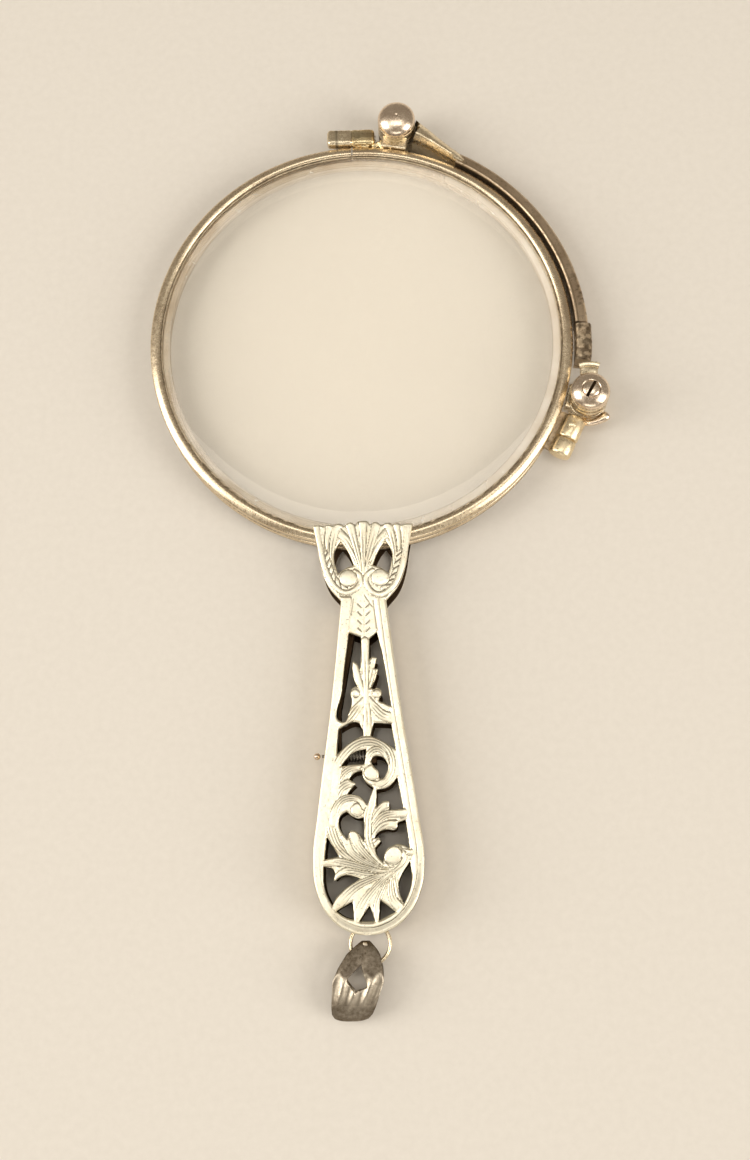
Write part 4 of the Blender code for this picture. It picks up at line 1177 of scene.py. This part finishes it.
def make_coil():
    """Return spring between the collar of the pin and its seat, built at rest length; the real spring
    closes up when pressed.
    """
    line = []
    for i in range(COIL_TURNS * 24 + 1):
        angle = 2 * pi * i / 24
        line.append((COIL_FROM + (COIL_TO - COIL_FROM) * i / (COIL_TURNS * 24),
                     PIN_Y + COIL_R * cos(angle), MID_Z + COIL_R * sin(angle)))
    coil = add_piece("return_coil", *tube(line, [COIL_WIRE] * len(line), 10), "handle",
                     "spring_steel", STEEL, "button_spring", sharp=60)
    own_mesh(coil)


def make_ring():
    x, y = RING_PLACE
    line = []
    for i in range(129):
        angle = radians(96 + 352 * i / 128)
        lift = 0.05 * (i / 128 - 0.5)
        line.append((x + RING_R * cos(angle), y + RING_R * sin(angle), MID_Z + lift))
    add_piece("split_ring", *tube(line, [RING_WIRE] * len(line), 18), "ring", "silver", BODY_SILVER,
              "jump_ring", sharp=50)


BAIL_PLACE = (-0.6, -54.55)
BAIL_SHEAR = 0.2
BAIL_TOP, BAIL_LENGTH = 1.85, 6.5
BAIL_OPENING = [(0.0, -0.1), (-1.0, -1.3), (-0.05, -2.35), (0.85, -1.85)]


def opening_distance(x, y):
    """Signed distance to the four-sided opening of the bail, negative inside it."""
    away, inside = 1e9, True
    for (ax, ay), (bx, by) in zip(BAIL_OPENING, BAIL_OPENING[1:] + BAIL_OPENING[:1]):
        length = hypot(bx - ax, by - ay)
        ux, uy = (bx - ax) / length, (by - ay) / length
        t = min(max((x - ax) * ux + (y - ay) * uy, 0), length)
        away = min(away, hypot(x - ax - t * ux, y - ay - t * uy))
        inside = inside and (x - ax) * uy - (y - ay) * ux < 0
    return -away if inside else away


def onto_opening(x, y):
    """The nearest place on the outline of the opening."""
    step = 0.01
    away = opening_distance(x, y)
    slope_x = (opening_distance(x + step, y) - away) / step
    slope_y = (opening_distance(x, y + step) - away) / step
    return x - away * slope_x, y - away * slope_y


def bail_point(turn, share):
    """A place on the folded band: turn goes once round the fold, share from side to side."""
    down = (1 - cos(turn)) / 2
    half = float(np.interp(down, [0, 0.03, 0.1, 0.17, 0.34, 0.51, 0.7, 0.85, 0.94, 1.0],
                           [0.3, 0.53, 1.0, 1.37, 1.85, 2.1, 1.95, 1.82, 1.68, 1.4]))
    drop = BAIL_LENGTH * down * (1 - 0.035 * abs(share) ** 3 * down)
    flute = cos((share + 0.35 * (down - 0.5)) * 2 * pi * 1.8) * min(max((down - 0.42) * 8, 0), 1)
    flute *= min(max((0.86 - down) * 6, 0.0), 1)
    face = 1 if sin(turn) >= 0 else -1
    legs = 0.16 * (1 - (2 * abs(share) - 1) ** 2) * max(0.0, 1 - 1.6 * abs(down - 0.35))
    spread = abs(sin(turn)) ** (0.5 + 0.5 * down) * face
    height = spread * 1.05 - 0.55 * down + (0.11 * flute + legs) * face
    height -= 0.18 * share ** 4 * min(max((down - 0.3) * 3, 0), 1) * sin(turn)
    return (half * share, BAIL_TOP - drop, height), down, flute


def make_bail():
    """Band folded over the ring: narrow and lumpy at the top, wide and fluted at the bottom,
    rounded where it folds, with an opening between its two legs."""
    around, across = 160, 48
    points, faces, marks, shut = [], [], [], set()
    for i in range(around):
        for j in range(across + 1):
            share = 2 * j / across - 1
            place, down, flute = bail_point(2 * pi * i / around, share)
            points.append(place)
            # The flute valleys are darkened, and the upper part of the band and its lower bend are
            # painted dark as shade.
            valley = 0.35 * max(0.0, 0.2 - flute) * (0.46 < down < 0.8)
            edge = 0.46 + 0.03 * cos(share * 2 * pi * 1.8)
            top_and_bend_shade = 0.86 * min(max((edge - down) * 25, 0), 1) + 0.8 * min(max((down - 0.66) * 5, 0), 1)
            marks.append(min(1.0, valley + top_and_bend_shade))
    width = across + 1
    loops = [[i * width + j, i * width + j + 1, (i + 1) % around * width + j + 1,
              (i + 1) % around * width + j] for i in range(around) for j in range(across)]
    for loop in loops:
        middle_x = sum(points[k][0] for k in loop) / 4
        middle_y = sum(points[k][1] for k in loop) / 4
        if opening_distance(middle_x, middle_y) > 0:
            faces.append(loop)
        else:
            shut.update(loop)
    for k in shut & {k for loop in faces for k in loop}:
        x, y, z = points[k]
        points[k] = (*onto_opening(x, y), z)
    points = [(x + BAIL_SHEAR * y + BAIL_PLACE[0], y + BAIL_PLACE[1], z + MID_Z) for x, y, z in points]
    mesh = raw_mesh("band_bail", points, faces)
    shade_and_valleys = mesh.attributes.new("oxide_and_shade", "FLOAT", "POINT")
    shade_and_valleys.data.foreach_set("value", marks)
    bail = finish_piece("band_bail", mesh, "bail", BAIL_SILVER, ("bail",), 60)
    solid = bail.modifiers.new("sheet", "SOLIDIFY")
    solid.thickness = 0.22 * MM
    solid.offset = -1
    apply_modifiers(bail)
    lump = roughened(soft_box((-0.2, -0.16, -0.14), (0.2, 0.16, 0.14), 0.12, 8), 0.1, 2.4)
    add_piece("bail_lump", *at(lump, (-0.25, -52.98, MID_Z + 0.76)), "bail", "tarnished_silver",
              BAIL_SILVER, sharp=60)


# ---------------------------------------------------------------- floor and kept CAD nodes


def make_floor():
    f = Finish("studio_floor")
    colour = f.blend(f.ramp(f.cloud(1.5), 0.3, 0.7), (0.77, 0.72, 0.65), (0.80, 0.75, 0.68))
    made = f.shader({"Base Color": colour, "Roughness": 0.9, "Specular IOR Level": 0.1})
    reach, low = 1.5, -0.00002
    mesh = bpy.data.meshes.new("studio_floor")
    mesh.from_pydata([(x * reach, y * reach, low) for x, y in ((-1, -1), (1, -1), (1, 1), (-1, 1))],
                     [], [(0, 1, 2, 3)])
    mesh.materials.append(made)
    new_object("studio_floor", mesh)


def dress_frame():
    """Materials for the CAD nodes that stay: springs, pins, screws, and the latch."""
    for name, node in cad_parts.items():
        node.data.materials.clear()
        # The latch and spring seats inside the handle are painted near-black as shade; the other kept
        # nodes are steel.
        hidden = name.startswith(("latch", "spring_seat"))
        node.data.materials.append(PAINTED_SHADE if hidden else STEEL)


add_camera()
make_floor()
add_lights()
dress_frame()
make_plates()
make_wall()
make_glasses()
make_hinge_1()
make_hinge_2()
make_bar()
make_arm()
make_front_blocks()
make_rear_block()
make_lip()
make_button()
make_coil()
make_ring()
make_bail()
